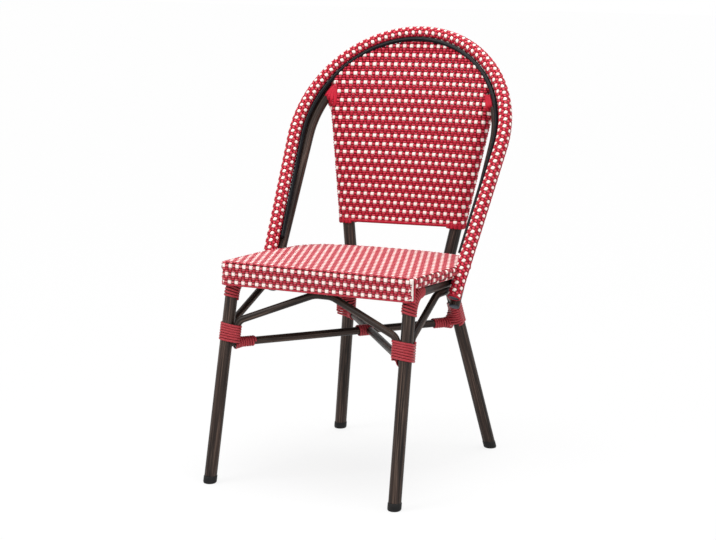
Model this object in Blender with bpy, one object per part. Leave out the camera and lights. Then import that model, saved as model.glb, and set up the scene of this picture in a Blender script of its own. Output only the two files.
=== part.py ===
"""Woven bistro chair: a welded tube frame with a woven seat, back panel and hoop.

The chair faces -Y. Points are worked out from the line between the front feet,
and an empty then sets the whole chair over the middle of its own footprint.
"""
import math

import bmesh
import bpy
from mathutils import Matrix, Vector

# Clearance between touching pieces
GAP = 0.0003

# Tube radii
LEG_TUBE_R = 0.013
BOW_TUBE_R = 0.0075
STRETCHER_TUBE_R = 0.008
CROSS_RAIL_R = 0.008
HOOP_TUBE_R = 0.011
HOOP_CORE_R = 0.011
SEAT_FRAME_R = 0.0075
SEAT_BRACE_R = 0.006
BACK_ROD_R = 0.006

# Front legs: feet on the line y = 0, shifts given per metre of height.
# Every step in x is measured inwards from the woven hoop's own half width.
FRONT_FOOT_STEP = 0.0344
FRONT_LEG_TOE_IN = 0.0229
FRONT_LEG_RAKE = 0.2075
FRONT_BEND_R = 0.045

# Rear legs and the uprights above their waist
REAR_FOOT_STEP = 0.0594
REAR_FOOT_Y = 0.5232
WAIST_STEP = 0.1317
WAIST_Y = 0.4398
WAIST_DROP = 0.050
WAIST_BEND_R = 0.09
UPRIGHT_FLARE = 0.176
UPRIGHT_LEAN = 0.166

# Seat: plan sizes lie in the seat's own sloping plane
SEAT_HEIGHT = 0.450
SEAT_FRONT_Y = 0.061
SEAT_FALL = 0.03
SEAT_FRONT_STEP = 0.0253
SEAT_MIDDLE_STEP = 0.0205
SEAT_MIDDLE_V = 0.170
SEAT_REAR_STEP = 0.0405
SEAT_REAR_V = 0.350
SEAT_DEPTH = 0.392
SEAT_FRONT_CORNER_R = 0.011
SEAT_MIDDLE_R = 0.25
SEAT_REAR_CORNER_R = 0.060
SEAT_BACK_R = 0.50
SEAT_SHEET = 0.006
SEAT_RIM = 0.014
SEAT_EDGE_R = 0.006
APRON_HEIGHT = 0.049
APRON_DEPTH = 0.008
APRON_INSET = 0.0005
SEAT_FRAME_CORNER_R = 0.132
SEAT_BRACE_V = (0.125, 0.255)

# Side rail's bend towards the rear leg
RAIL_TURN_V = 0.300
RAIL_TURN_INSET = 0.033
RAIL_TURN_R = 0.070

# Hoop: its plane leans back and meets the seat's height at HOOP_Y
HOOP_Y = 0.2862
HOOP_LEAN = math.radians(31.0)
HOOP_CENTRE_S = 0.272
HOOP_WEAVE_R = 0.0145
WOVEN_ARCH_R = 0.2445
WOVEN_SPLAY = math.radians(4.0)
WOVEN_END_S = -0.0805
TUBE_ARCH_STEP = 0.025
TUBE_SPLAY = math.radians(0.9)
TUBE_END_S = -0.088
TUBE_BACK_TOP = 0.013
PIPING_R = 0.0045
PIPING_END_S = 0.020
PIPING_ANGLE_LOW = math.radians(-4.0)
PIPING_ANGLE_TOP = math.radians(32.0)

# Back panel
PANEL_RISE = 0.0435
PANEL_SHEET = 0.0076
PANEL_FLAP_DROP = 0.005
PANEL_FLAP = 0.0075
PANEL_WEAVE = 0.0035
PANEL_BACK_WEAVE = 0.0080
PANEL_EAR_DROP = 0.0617
PANEL_EAR_RISE = 0.040
PANEL_EAR = 0.025
PANEL_TOP_MARGIN = 0.0012
PANEL_CENTRE_LEAN = 0.2568
BACK_ROD_RISE = 0.016

# Bows and stretcher
BOW_END_RISE = 0.0088
BOW_CORNER_R = 0.022
BOW_TOP_R = 0.050
FRONT_BOW_FLAT = 0.040
SIDE_BOW_FRONT_V = 0.160
SIDE_BOW_REAR_V = 0.215
REAR_BOW_END_RISE = 0.010
STRETCHER_FRONT_DROP = 0.1688
STRETCHER_REAR_DROP = 0.1630
FRONT_RAIL_DROP = 0.0435

# Red cord bindings
CORD_R = 0.0025
CORD_PITCH = 0.0056
BEND_CORD_PITCH = 0.0090
FRONT_BINDING_LOOPS = 5
REAR_BINDING_LOOPS = 5
END_BINDING_LOOPS = 4
CROSSING_LOOPS = 4
LEG_TOP_LOOPS = 2
BEND_LOOPS_BELOW = 3
BEND_LOOPS_ABOVE = 3

# Feet and plugs
GLIDE_R = 0.0145
GLIDE_HEIGHT = 0.014
GLIDE_EDGE = 0.0015
STEM_R = 0.0085
STEM_LENGTH = 0.018
PLUG_HEAD = 0.003

# Facets
LEG_SIDES = 14
THIN_SIDES = 12
HOOP_SIDES = 12
ARCH_STEPS = 22
BEND_STEP = math.radians(12.0)

# Sizes that follow from the ones above
SEAT_THICKNESS = SEAT_SHEET + GAP + 2 * SEAT_FRAME_R
RAIL_DROP = SEAT_THICKNESS + GAP + LEG_TUBE_R
WAIST_Z = SEAT_HEIGHT - WAIST_DROP
FRONT_RAIL_Z = SEAT_HEIGHT - FRONT_RAIL_DROP
STRETCHER_FRONT_Z = SEAT_HEIGHT - STRETCHER_FRONT_DROP
STRETCHER_REAR_Z = SEAT_HEIGHT - STRETCHER_REAR_DROP
BOW_END_Z = STRETCHER_FRONT_Z + BOW_END_RISE
REAR_BOW_END_Z = STRETCHER_REAR_Z + REAR_BOW_END_RISE
PANEL_BOTTOM_Z = SEAT_HEIGHT + PANEL_RISE
TUBE_ARCH_R = WOVEN_ARCH_R - TUBE_ARCH_STEP
FRONT_FOOT_X = WOVEN_ARCH_R - FRONT_FOOT_STEP
REAR_FOOT_X = WOVEN_ARCH_R - REAR_FOOT_STEP
WAIST_X = WOVEN_ARCH_R - WAIST_STEP
SEAT_FRONT_HALF = WOVEN_ARCH_R - SEAT_FRONT_STEP
SEAT_MIDDLE_HALF = WOVEN_ARCH_R - SEAT_MIDDLE_STEP
SEAT_REAR_HALF = WOVEN_ARCH_R - SEAT_REAR_STEP
TUBE_BACK_LOW = HOOP_WEAVE_R + HOOP_TUBE_R + 2 * GAP
WOVEN_TOP_S = HOOP_CENTRE_S + WOVEN_ARCH_R
BOW_OFFSET = LEG_TUBE_R + BOW_TUBE_R + GAP
FRONT_BINDING_Z = STRETCHER_FRONT_Z + STRETCHER_TUBE_R + CORD_R + 4 * GAP
REAR_BINDING_Z = STRETCHER_REAR_Z + STRETCHER_TUBE_R + 3.5 * CORD_R
BOW_CORNER_RISE = 3 * CORD_R
BOW_CORNER_Z = FRONT_BINDING_Z + CORD_PITCH * FRONT_BINDING_LOOPS + BOW_CORNER_RISE
REAR_BOW_CORNER_Z = REAR_BINDING_Z + CORD_PITCH * REAR_BINDING_LOOPS + BOW_CORNER_RISE
PIPING_REACH = HOOP_WEAVE_R + PIPING_R + GAP
GLIDE_TOE_Y = -GLIDE_R * math.hypot(1.0, FRONT_LEG_RAKE)
HOOP_BACK_Y = HOOP_Y + WOVEN_TOP_S * math.sin(HOOP_LEAN) + HOOP_WEAVE_R
CHAIR_MIDDLE_Y = (GLIDE_TOE_Y + HOOP_BACK_Y) / 2

SIDES = (("left", -1), ("right", 1))

TUBE_BROWN = ((0.045, 0.028, 0.022), 0.42, 0.3)
WEAVE_RED = ((0.42, 0.012, 0.025), 0.5, 0.0)
CORD_RED = ((0.33, 0.012, 0.022), 0.55, 0.0)
BLACK_GLOSS = ((0.012, 0.012, 0.014), 0.25, 0.0)
BLACK_PLASTIC = ((0.016, 0.015, 0.015), 0.5, 0.0)
BARE_METAL = ((0.45, 0.45, 0.46), 0.4, 1.0)


def clear_scene():
    for old in list(bpy.data.objects):
        bpy.data.objects.remove(old, do_unlink=True)


def add_empty(name, location=(0, 0, 0), parent=None):
    empty = bpy.data.objects.new(name, None)
    empty.location = location
    empty.parent = parent
    bpy.context.scene.collection.objects.link(empty)
    return empty


def paint(name, finish):
    colour, roughness, metallic = finish
    material = bpy.data.materials.new(name)
    material.use_nodes = True
    shader = material.node_tree.nodes["Principled BSDF"]
    shader.inputs["Base Color"].default_value = (*colour, 1.0)
    shader.inputs["Roughness"].default_value = roughness
    shader.inputs["Metallic"].default_value = metallic
    return material


def add_object(name, data, finish, parent):
    item = bpy.data.objects.new(name, data)
    item.parent = parent
    data.materials.append(paint(name, finish))
    bpy.context.scene.collection.objects.link(item)
    return item


def add_solid(name, bm, finish, parent):
    bmesh.ops.recalc_face_normals(bm, faces=bm.faces[:])
    mesh = bpy.data.meshes.new(name)
    bm.to_mesh(mesh)
    bm.free()
    mesh.shade_smooth()
    mesh.set_sharp_from_angle(angle=math.radians(35))
    return add_object(name, mesh, finish, parent)


def hide_cutter(cutter):
    cutter.hide_render = True
    cutter.display_type = "WIRE"


def boolean(item, other, operation):
    hide_cutter(other)
    modifier = item.modifiers.new(other.name, "BOOLEAN")
    modifier.operation = operation
    modifier.solver = "EXACT"
    modifier.object = other


def cut(item, *cutters):
    for cutter in cutters:
        boolean(item, cutter, "DIFFERENCE")


# Paths and sweeps

def rounded_path(corners, radii):
    """Polyline through the corners, with an arc of the given radius at each inner one."""
    points = [corners[0]]
    for before, corner, after, radius in zip(corners, corners[1:], corners[2:], radii):
        back = (before - corner).normalized()
        ahead = (after - corner).normalized()
        turn = math.pi - back.angle(ahead)
        tangent = radius * math.tan(turn / 2)
        centre = corner + (back + ahead).normalized() * (radius / math.cos(turn / 2))
        start = corner + back * tangent - centre
        axis = start.cross(corner + ahead * tangent - centre)
        steps = max(2, math.ceil(turn / BEND_STEP))
        for step in range(steps + 1):
            points.append(centre + Matrix.Rotation(turn * step / steps, 3, axis) @ start)
    points.append(corners[-1])
    return points


def tangents(points, closed=False):
    count = len(points)
    result = []
    for index in range(count):
        ahead = points[(index + 1) % count] if closed or index + 1 < count else points[index]
        behind = points[index - 1] if closed or index else points[index]
        result.append((ahead - behind).normalized())
    return result


def ring_frames(points, closed=False):
    """Side and up directions at each point, carried along the path without twist."""
    directions = tangents(points, closed)
    first = directions[0]
    helper = Vector((1, 0, 0)) if abs(first.x) < 0.8 else Vector((0, 0, 1))
    side = (helper - first * helper.dot(first)).normalized()
    frames = []
    for direction in directions:
        side = (side - direction * side.dot(direction)).normalized()
        frames.append((side, direction.cross(side)))
    return frames


def add_rings(bm, points, radius, sides, closed=False):
    rings = []
    for point, (side, up) in zip(points, ring_frames(points, closed)):
        ring = []
        for step in range(sides):
            angle = 2 * math.pi * (step + 0.5) / sides
            spoke = side * math.cos(angle) + up * math.sin(angle)
            ring.append(bm.verts.new(point + spoke * radius))
        rings.append(ring)
    return rings


def skin(bm, rings, closed=False):
    pairs = list(zip(rings, rings[1:]))
    if closed:
        pairs.append((rings[-1], rings[0]))
    for low, high in pairs:
        for step in range(len(low)):
            after = (step + 1) % len(low)
            bm.faces.new((low[step], low[after], high[after], high[step]))


def tube_mesh(points, radius, sides, bore=0.0, closed=False):
    bm = bmesh.new()
    outer = add_rings(bm, points, radius, sides, closed)
    skin(bm, outer, closed)
    if closed:
        return bm
    if bore:
        inner = add_rings(bm, points, bore, sides)
        skin(bm, inner)
        for end in (0, -1):
            skin(bm, [outer[end], inner[end]])
    else:
        bm.faces.new(outer[0])
        bm.faces.new(outer[-1])
    return bm


def add_tube(name, points, radius, sides, parent, finish=TUBE_BROWN, bore=0.0, closed=False):
    return add_solid(name, tube_mesh(points, radius, sides, bore, closed), finish, parent)


def tube_cutter(name, points, radius, sides, parent):
    return add_tube(name + "_clearance", points, radius + GAP, sides, parent)


def leg_cutter(name, path, parent):
    return tube_cutter(name, path, LEG_TUBE_R, LEG_SIDES, parent)


def hoop_tube_cutter(name, parent):
    return tube_cutter(name, bare_hoop_path(), HOOP_TUBE_R, HOOP_SIDES, parent)


def turned_mesh(start, axis, profile, sides):
    """Solid of revolution: profile holds (distance along the axis, radius) pairs."""
    bm = bmesh.new()
    rings = []
    helper = Vector((1, 0, 0))
    side = (helper - axis * helper.dot(axis)).normalized()
    up = axis.cross(side)
    for distance, radius in profile:
        ring = []
        for step in range(sides):
            angle = 2 * math.pi * (step + 0.5) / sides
            spoke = side * math.cos(angle) + up * math.sin(angle)
            ring.append(bm.verts.new(start + axis * distance + spoke * radius))
        rings.append(ring)
    skin(bm, rings)
    bm.faces.new(rings[0])
    bm.faces.new(rings[-1])
    return bm


# Lines that the frame follows

def front_leg_point(side, z):
    return Vector((side * (FRONT_FOOT_X - FRONT_LEG_TOE_IN * z), FRONT_LEG_RAKE * z, z))


def rear_leg_point(side, z):
    share = z / WAIST_Z
    x = REAR_FOOT_X + (WAIST_X - REAR_FOOT_X) * share
    y = REAR_FOOT_Y + (WAIST_Y - REAR_FOOT_Y) * share
    return Vector((side * x, y, z))


def upright_point(side, z):
    rise = z - WAIST_Z
    return Vector((side * (WAIST_X + UPRIGHT_FLARE * rise), WAIST_Y + UPRIGHT_LEAN * rise, z))


def under_seat(x, v, drop):
    """Point at plan position (x, v), the given distance under the seat's top."""
    return Vector((x, SEAT_FRONT_Y + v, SEAT_HEIGHT - SEAT_FALL * v - drop))


def hoop_point(x, s, back):
    """Point of the hoop's plane, with s up the slope and back behind the plane."""
    y = HOOP_Y + s * math.sin(HOOP_LEAN) + back * math.cos(HOOP_LEAN)
    z = SEAT_HEIGHT + s * math.cos(HOOP_LEAN) - back * math.sin(HOOP_LEAN)
    return Vector((x, y, z))


def tube_back(s):
    """How far the bare tube runs behind the woven hoop's plane."""
    share = (s - WOVEN_END_S) / (WOVEN_TOP_S - WOVEN_END_S)
    return TUBE_BACK_LOW + (TUBE_BACK_TOP - TUBE_BACK_LOW) * share


def arch_plan(radius, splay, end_s):
    """Left foot to right foot of an arch, as (x, s) pairs in its plane."""
    straight = HOOP_CENTRE_S - radius * math.sin(splay) - end_s
    foot_x = radius * math.cos(splay) - math.tan(splay) * straight
    plan = [(-foot_x, end_s)]
    span = math.pi + 2 * splay
    for step in range(ARCH_STEPS + 1):
        angle = math.pi + splay - span * step / ARCH_STEPS
        plan.append((radius * math.cos(angle), HOOP_CENTRE_S + radius * math.sin(angle)))
    plan.append((foot_x, end_s))
    return plan


def woven_path():
    return [hoop_point(x, s, 0.0) for x, s in arch_plan(WOVEN_ARCH_R, WOVEN_SPLAY, WOVEN_END_S)]


def bare_hoop_path():
    return [hoop_point(x, s, tube_back(s)) for x, s in arch_plan(TUBE_ARCH_R, TUBE_SPLAY, TUBE_END_S)]


def piping_path():
    """The piping lies on the woven hoop's inner side and turns to its front at the top."""
    points = []
    for x, s in arch_plan(WOVEN_ARCH_R, WOVEN_SPLAY, PIPING_END_S):
        share = (s - PIPING_END_S) / (WOVEN_TOP_S - PIPING_END_S)
        angle = PIPING_ANGLE_LOW + (PIPING_ANGLE_TOP - PIPING_ANGLE_LOW) * share
        reach = PIPING_REACH / math.cos(math.pi / HOOP_SIDES)
        rise = max(s - HOOP_CENTRE_S, 0.0)
        inward = Vector((-x, -rise)).normalized() * reach * math.cos(angle)
        points.append(hoop_point(x + inward.x, s + inward.y, -reach * math.sin(angle)))
    return points


def leg_corner(side):
    """Where a front leg's line meets the level of its side rail."""
    level = SEAT_HEIGHT + SEAT_FALL * SEAT_FRONT_Y - RAIL_DROP
    return front_leg_point(side, level / (1 + SEAT_FALL * FRONT_LEG_RAKE))


def rail_at_hoop(side):
    """Point of the side rail that the bare hoop tube is welded to."""
    foot, knee = bare_hoop_path()[-1:-3:-1]
    level = [point.z - under_seat(0, point.y - SEAT_FRONT_Y, RAIL_DROP).z for point in (foot, knee)]
    meet = foot.lerp(knee, level[0] / (level[0] - level[1]))
    x = meet.x - HOOP_TUBE_R - LEG_TUBE_R - 2 * GAP
    return under_seat(side * x, meet.y - SEAT_FRONT_Y, RAIL_DROP)


def rail_end(side):
    """Point on the rear leg's centre line at the side rail's level."""
    level = under_seat(0, WAIST_Y - SEAT_FRONT_Y, RAIL_DROP).z
    return upright_point(side, level)


def front_leg_path(side):
    hoop = rail_at_hoop(side)
    turn = under_seat(side * (SEAT_REAR_HALF - RAIL_TURN_INSET + LEG_TUBE_R), RAIL_TURN_V, RAIL_DROP)
    corners = [front_leg_point(side, GLIDE_HEIGHT), leg_corner(side), hoop, turn, rail_end(side)]
    return rounded_path(corners, (FRONT_BEND_R, RAIL_TURN_R, RAIL_TURN_R))


def rear_leg_path(side):
    top = upright_top(side)
    waist = Vector((side * WAIST_X, WAIST_Y, WAIST_Z))
    return rounded_path([rear_leg_point(side, GLIDE_HEIGHT), waist, top], (WAIST_BEND_R,))


def upright_top(side):
    """The upright stops inside the bare hoop tube's lower half, where it is coped to it."""
    best = None
    path = bare_hoop_path()
    for start, end in zip(path, path[1:]):
        for step in range(8):
            point = start.lerp(end, step / 8)
            miss = (upright_point(side, point.z) - point).length
            if best is None or miss < best[0]:
                best = (miss, point.z)
    return upright_point(side, best[1] - HOOP_TUBE_R / 3)


# Seat outline

def seat_outline(inset=0.0, front_v=0.0, front_corner_r=SEAT_FRONT_CORNER_R):
    """Closed plan of the seat as (x, v) pairs, moved inwards by inset."""
    half = [
        (Vector((SEAT_FRONT_HALF, front_v, 0)), front_corner_r),
        (Vector((SEAT_MIDDLE_HALF, SEAT_MIDDLE_V, 0)), SEAT_MIDDLE_R),
        (Vector((SEAT_REAR_HALF, SEAT_REAR_V, 0)), SEAT_REAR_CORNER_R),
        (Vector((0, SEAT_DEPTH, 0)), SEAT_BACK_R),
    ]
    mirrored = [(Vector((-corner.x, corner.y, 0)), radius) for corner, radius in reversed(half[:3])]
    ring = half + mirrored
    middle = Vector((0, front_v, 0))
    corners = [middle] + [corner for corner, radius in ring] + [middle]
    points = rounded_path(corners, [radius for corner, radius in ring])[:-1]
    directions = tangents(points, closed=True)
    moved = [point + Vector((-way.y, way.x, 0)) * inset for point, way in zip(points, directions)]
    return [(point.x, point.y) for point in moved]


def plan_half_width(plan, v):
    for (start_x, start_v), (end_x, end_v) in zip(plan, plan[1:]):
        if start_x > 0 and start_v <= v < end_v:
            return start_x + (end_x - start_x) * (v - start_v) / (end_v - start_v)
    return SEAT_REAR_HALF


def plan_solid(levels):
    """Loft of seat plans: levels holds (height, list of (x, v)) from top to bottom."""
    bm = bmesh.new()
    rings = [[bm.verts.new((x, v, height)) for x, v in plan] for height, plan in levels]
    skin(bm, rings)
    bm.faces.new(rings[0])
    bm.faces.new(rings[-1])
    return bm


# Sub-parts

def make_front_legs(chair):
    for name, side in SIDES:
        leg = add_tube("front_leg_" + name, front_leg_path(side), LEG_TUBE_R, LEG_SIDES, chair)
        cut(leg, leg_cutter("rear_leg_for_rail_" + name, rear_leg_path(side), chair))
        make_glide(leg, "front_" + name, front_leg_path(side), chair)


def make_rear_legs(chair):
    for name, side in SIDES:
        leg = add_tube("rear_leg_" + name, rear_leg_path(side), LEG_TUBE_R, LEG_SIDES, chair)
        cut(leg, hoop_tube_cutter("hoop_for_upright_" + name, chair))
        make_glide(leg, "rear_" + name, rear_leg_path(side), chair)


def make_glide(leg, name, path, chair):
    """Foot cap cut level with the floor, with a stem in the tube's end."""
    end = path[0]
    axis = (path[1] - path[0]).normalized()
    below = -2 * GLIDE_HEIGHT
    profile = [(below, GLIDE_R), (-GAP, GLIDE_R), (-GAP, STEM_R), (STEM_LENGTH, STEM_R)]
    bm = turned_mesh(end, axis, profile, LEG_SIDES)
    everything = bm.verts[:] + bm.edges[:] + bm.faces[:]
    level = {"plane_co": (0, 0, 0), "plane_no": (0, 0, 1)}
    floor = bmesh.ops.bisect_plane(bm, geom=everything, clear_inner=True, **level)
    rim = [edge for edge in floor["geom_cut"] if isinstance(edge, bmesh.types.BMEdge)]
    sole = bmesh.ops.contextual_create(bm, geom=rim)["faces"]
    edges = [edge for face in sole for edge in face.edges]
    bmesh.ops.bevel(bm, geom=edges, offset=GLIDE_EDGE, segments=1, affect="EDGES")
    add_solid("foot_glide_" + name, bm, BLACK_PLASTIC, chair)
    cut(leg, stem_socket("glide_socket_" + name, end, axis, LEG_SIDES, chair))


def stem_socket(name, end, axis, sides, chair):
    profile = [(-STEM_LENGTH, STEM_R + GAP), (STEM_LENGTH + GAP, STEM_R + GAP)]
    return add_solid(name, turned_mesh(end, axis, profile, sides), TUBE_BROWN, chair)


def make_hoop(chair):
    bare = bare_hoop_path()
    tube = add_tube("hoop_tube", bare, HOOP_TUBE_R, HOOP_SIDES, chair)
    for (name, side), end, inner in zip(SIDES, (bare[0], bare[-1]), (bare[1], bare[-2])):
        axis = (inner - end).normalized()
        profile = [(-PLUG_HEAD, HOOP_TUBE_R * 0.8), (-PLUG_HEAD / 2, HOOP_TUBE_R), (-GAP, HOOP_TUBE_R)]
        profile += [(-GAP, STEM_R), (STEM_LENGTH, STEM_R)]
        plug = turned_mesh(end, axis, profile, HOOP_SIDES)
        add_solid("hoop_plug_" + name, plug, BLACK_PLASTIC, chair)
        cut(tube, stem_socket("plug_socket_" + name, end, axis, HOOP_SIDES, chair))
    path = woven_path()
    add_tube("hoop_core", path, HOOP_CORE_R, HOOP_SIDES, chair)
    add_tube("hoop_weave", path, HOOP_WEAVE_R, HOOP_SIDES, chair, WEAVE_RED, bore=HOOP_CORE_R + GAP)
    add_tube("hoop_piping", piping_path(), PIPING_R, 8, chair, BLACK_GLOSS)


def panel_shoulder_x(z):
    return upright_point(1, z).x + LEG_TUBE_R


def panel_middle(x, z):
    """Depth of the woven sheet's middle: it hollows towards its top, where a back leans."""
    edge = upright_point(1, z)
    set_forward = LEG_TUBE_R + PANEL_WEAVE - PANEL_SHEET / 2
    bottom_y = upright_point(1, PANEL_BOTTOM_Z).y
    centre_y = bottom_y + PANEL_CENTRE_LEAN * (z - PANEL_BOTTOM_Z)
    return centre_y + (edge.y - centre_y) * (x / edge.x) ** 2 - set_forward


def panel_top(angle):
    """Top edge of the panel, an arc just inside the piping, as (x, z)."""
    front = PIPING_REACH * math.sin(PIPING_ANGLE_TOP)
    inward = PIPING_REACH * math.cos(PIPING_ANGLE_TOP) + PIPING_R + PANEL_TOP_MARGIN
    radius = WOVEN_ARCH_R - inward
    top = hoop_point(radius * math.cos(angle), HOOP_CENTRE_S + radius * math.sin(angle), -front)
    return top.x, top.z


def panel_shoulder_angle():
    angle = 0.0
    x, z = panel_top(angle)
    while x > panel_shoulder_x(z):
        angle += math.radians(0.5)
        x, z = panel_top(angle)
    return angle


def panel_shoulder_z():
    return panel_top(panel_shoulder_angle())[1]


def panel_sheet_mesh(columns=16, rows=8):
    shoulder = panel_shoulder_angle()
    bm = bmesh.new()
    front, back = [], []
    for row in range(rows + 1):
        front_row, back_row = [], []
        for column in range(columns + 1):
            across = 2 * column / columns - 1
            angle = math.pi / 2 - across * (math.pi / 2 - shoulder)
            top_x, top_z = panel_top(angle)
            bottom_x = across * panel_shoulder_x(PANEL_BOTTOM_Z)
            x = bottom_x + (top_x - bottom_x) * row / rows
            z = PANEL_BOTTOM_Z + (top_z - PANEL_BOTTOM_Z) * row / rows
            y = panel_middle(x, z)
            front_row.append(bm.verts.new((x, y - PANEL_SHEET / 2, z)))
            back_row.append(bm.verts.new((x, y + PANEL_SHEET / 2, z)))
        front.append(front_row)
        back.append(back_row)
    loops = [front_row + back_row[::-1] for front_row, back_row in zip(front, back)]
    skin(bm, loops)
    for row in (0, -1):
        for column in range(columns):
            front_edge = front[row][column:column + 2]
            back_edge = back[row][column:column + 2]
            bm.faces.new(front_edge + back_edge[::-1])
    bmesh.ops.triangulate(bm, faces=bm.faces[:])
    return bm


def panel_sleeve_mesh(side, rows=5, sides=16):
    """Woven edge that wraps an upright, with its flap on the outer side."""
    low = PANEL_BOTTOM_Z - PANEL_FLAP_DROP
    high = panel_shoulder_z() - LEG_TUBE_R
    wrap = LEG_TUBE_R + PANEL_WEAVE
    bm = bmesh.new()
    rings = []
    for row in range(rows + 1):
        z = low + (high - low) * row / rows
        centre = upright_point(side, z)
        ring = []
        for step in range(sides):
            angle = 2 * math.pi * (step + 0.5) / sides
            across = math.cos(angle) * (LEG_TUBE_R + PANEL_FLAP if math.cos(angle) > 0 else wrap)
            depth = math.sin(angle) * (LEG_TUBE_R + PANEL_BACK_WEAVE if math.sin(angle) > 0 else wrap)
            ring.append(bm.verts.new(centre + Vector((side * across, depth, 0))))
        rings.append(ring)
    skin(bm, rings)
    bm.faces.new(rings[0])
    bm.faces.new(rings[-1])
    bmesh.ops.triangulate(bm, faces=bm.faces[:])
    return bm


def panel_ear_mesh(side):
    """Corner of the sheet that reaches out to the hoop tube above an upright's top."""
    low_z = panel_shoulder_z() - PANEL_EAR_DROP
    high_z = low_z + PANEL_EAR_RISE
    middle_z = low_z + PANEL_EAR_RISE * 0.4
    low = upright_point(1, low_z).x
    high = upright_point(1, high_z).x
    corners = [
        (low, low_z),
        (low + PANEL_EAR * 0.5, low_z),
        (upright_point(1, middle_z).x + PANEL_EAR, middle_z),
        (high + PANEL_EAR * 0.7, high_z),
        (high, high_z),
    ]
    bm = bmesh.new()
    half = PANEL_SHEET * 0.45
    faces = []
    for shift in (-half, half):
        faces.append([bm.verts.new((side * x, panel_middle(x, z) + shift, z)) for x, z in corners])
    skin(bm, faces)
    bm.faces.new(faces[0])
    bm.faces.new(faces[1])
    bmesh.ops.triangulate(bm, faces=bm.faces[:])
    return bm


def make_back(chair):
    rod_z = PANEL_BOTTOM_Z + BACK_ROD_RISE
    rod_y = panel_middle(0, rod_z) + PANEL_SHEET / 2 + 2 * GAP + BACK_ROD_R
    ends = [Vector((side * upright_point(1, rod_z).x, rod_y, rod_z)) for name, side in SIDES]
    rod = add_tube("back_lower_rod", ends, BACK_ROD_R, 10, chair)
    panel = add_solid("back_weave_panel", panel_sheet_mesh(), WEAVE_RED, chair)
    for name, side in SIDES:
        sleeve = add_solid("panel_sleeve_" + name, panel_sleeve_mesh(side), WEAVE_RED, chair)
        boolean(panel, sleeve, "UNION")
        boolean(panel, add_solid("panel_ear_" + name, panel_ear_mesh(side), WEAVE_RED, chair), "UNION")
    for name, side in SIDES:
        cut(rod, leg_cutter("upright_for_rod_" + name, rear_leg_path(side), chair))
        cut(panel, leg_cutter("upright_for_panel_" + name, rear_leg_path(side), chair))
    cut(panel, tube_cutter("rod_for_panel", ends, BACK_ROD_R, 10, chair))
    cut(panel, hoop_tube_cutter("hoop_for_panel", chair))
    cut(panel, tube_cutter("weave_for_panel", woven_path(), HOOP_WEAVE_R, HOOP_SIDES, chair))
    cut(panel, tube_cutter("piping_for_panel", piping_path(), PIPING_R, 8, chair))


def make_seat(chair, seat_plane):
    weave = add_solid("seat_weave", seat_pad_mesh(), WEAVE_RED, seat_plane)
    apron = add_solid("seat_apron", apron_mesh(), WEAVE_RED, seat_plane)
    boolean(weave, apron, "UNION")
    pocket_plan = seat_outline(SEAT_RIM, SEAT_RIM, SEAT_FRONT_CORNER_R + SEAT_RIM)
    pocket = plan_solid([(-SEAT_SHEET, pocket_plan), (-2 * SEAT_THICKNESS, pocket_plan)])
    cut(weave, add_solid("seat_pocket", pocket, WEAVE_RED, seat_plane))
    frame_drop = SEAT_SHEET + GAP + SEAT_FRAME_R
    frame_inset = SEAT_RIM + GAP + SEAT_FRAME_R
    frame_plan = seat_outline(frame_inset, SEAT_RIM, SEAT_FRAME_CORNER_R)
    ring = [Vector((x, v, -frame_drop)) for x, v in frame_plan]
    add_tube("seat_frame", ring, SEAT_FRAME_R, 8, seat_plane, BARE_METAL, closed=True)
    channel = tube_mesh(ring, SEAT_FRAME_R + GAP, 8, closed=True)
    clearance = add_solid("frame_clearance", channel, BARE_METAL, seat_plane)
    cut(weave, clearance)
    for name, v in zip(("front", "rear"), SEAT_BRACE_V):
        drop = SEAT_SHEET + GAP + SEAT_BRACE_R
        ends = [Vector((side * plan_half_width(frame_plan, v), v, -drop)) for label, side in SIDES]
        brace = add_tube("seat_brace_" + name, ends, SEAT_BRACE_R, 8, seat_plane, BARE_METAL)
        cut(brace, clearance)
    cut(weave, tube_cutter("hoop_for_seat", woven_path(), HOOP_WEAVE_R, HOOP_SIDES, chair))
    cut(weave, hoop_tube_cutter("hoop_tube_for_seat", chair))
    for name, side in SIDES:
        bend = bound_bend(side)
        reach = (LEG_TUBE_R + 2 * CORD_R + 3 * GAP) / math.cos(math.pi / LEG_SIDES) ** 2
        cut(weave, tube_cutter("binding_for_seat_" + name, bend, reach, LEG_SIDES, chair))


def seat_pad_mesh():
    edge = SEAT_EDGE_R
    levels = [
        (0.0, seat_outline(edge)),
        (-edge * 0.3, seat_outline(edge * 0.3)),
        (-edge, seat_outline()),
        (-SEAT_THICKNESS + edge / 2, seat_outline()),
        (-SEAT_THICKNESS, seat_outline(edge / 2)),
    ]
    return plan_solid(levels)


def apron_mesh():
    """Board at the seat's front, set just inside the pad's own corners."""
    half = SEAT_FRONT_HALF - APRON_INSET
    corners = [(-half, APRON_DEPTH), (-half, APRON_INSET), (half, APRON_INSET), (half, APRON_DEPTH)]
    plan = rounded_path([Vector((x, v, 0)) for x, v in corners], (APRON_DEPTH / 2,) * 2)
    outline = [(point.x, point.y) for point in plan]
    return plan_solid([(-SEAT_EDGE_R, outline), (-APRON_HEIGHT, outline)])


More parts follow.
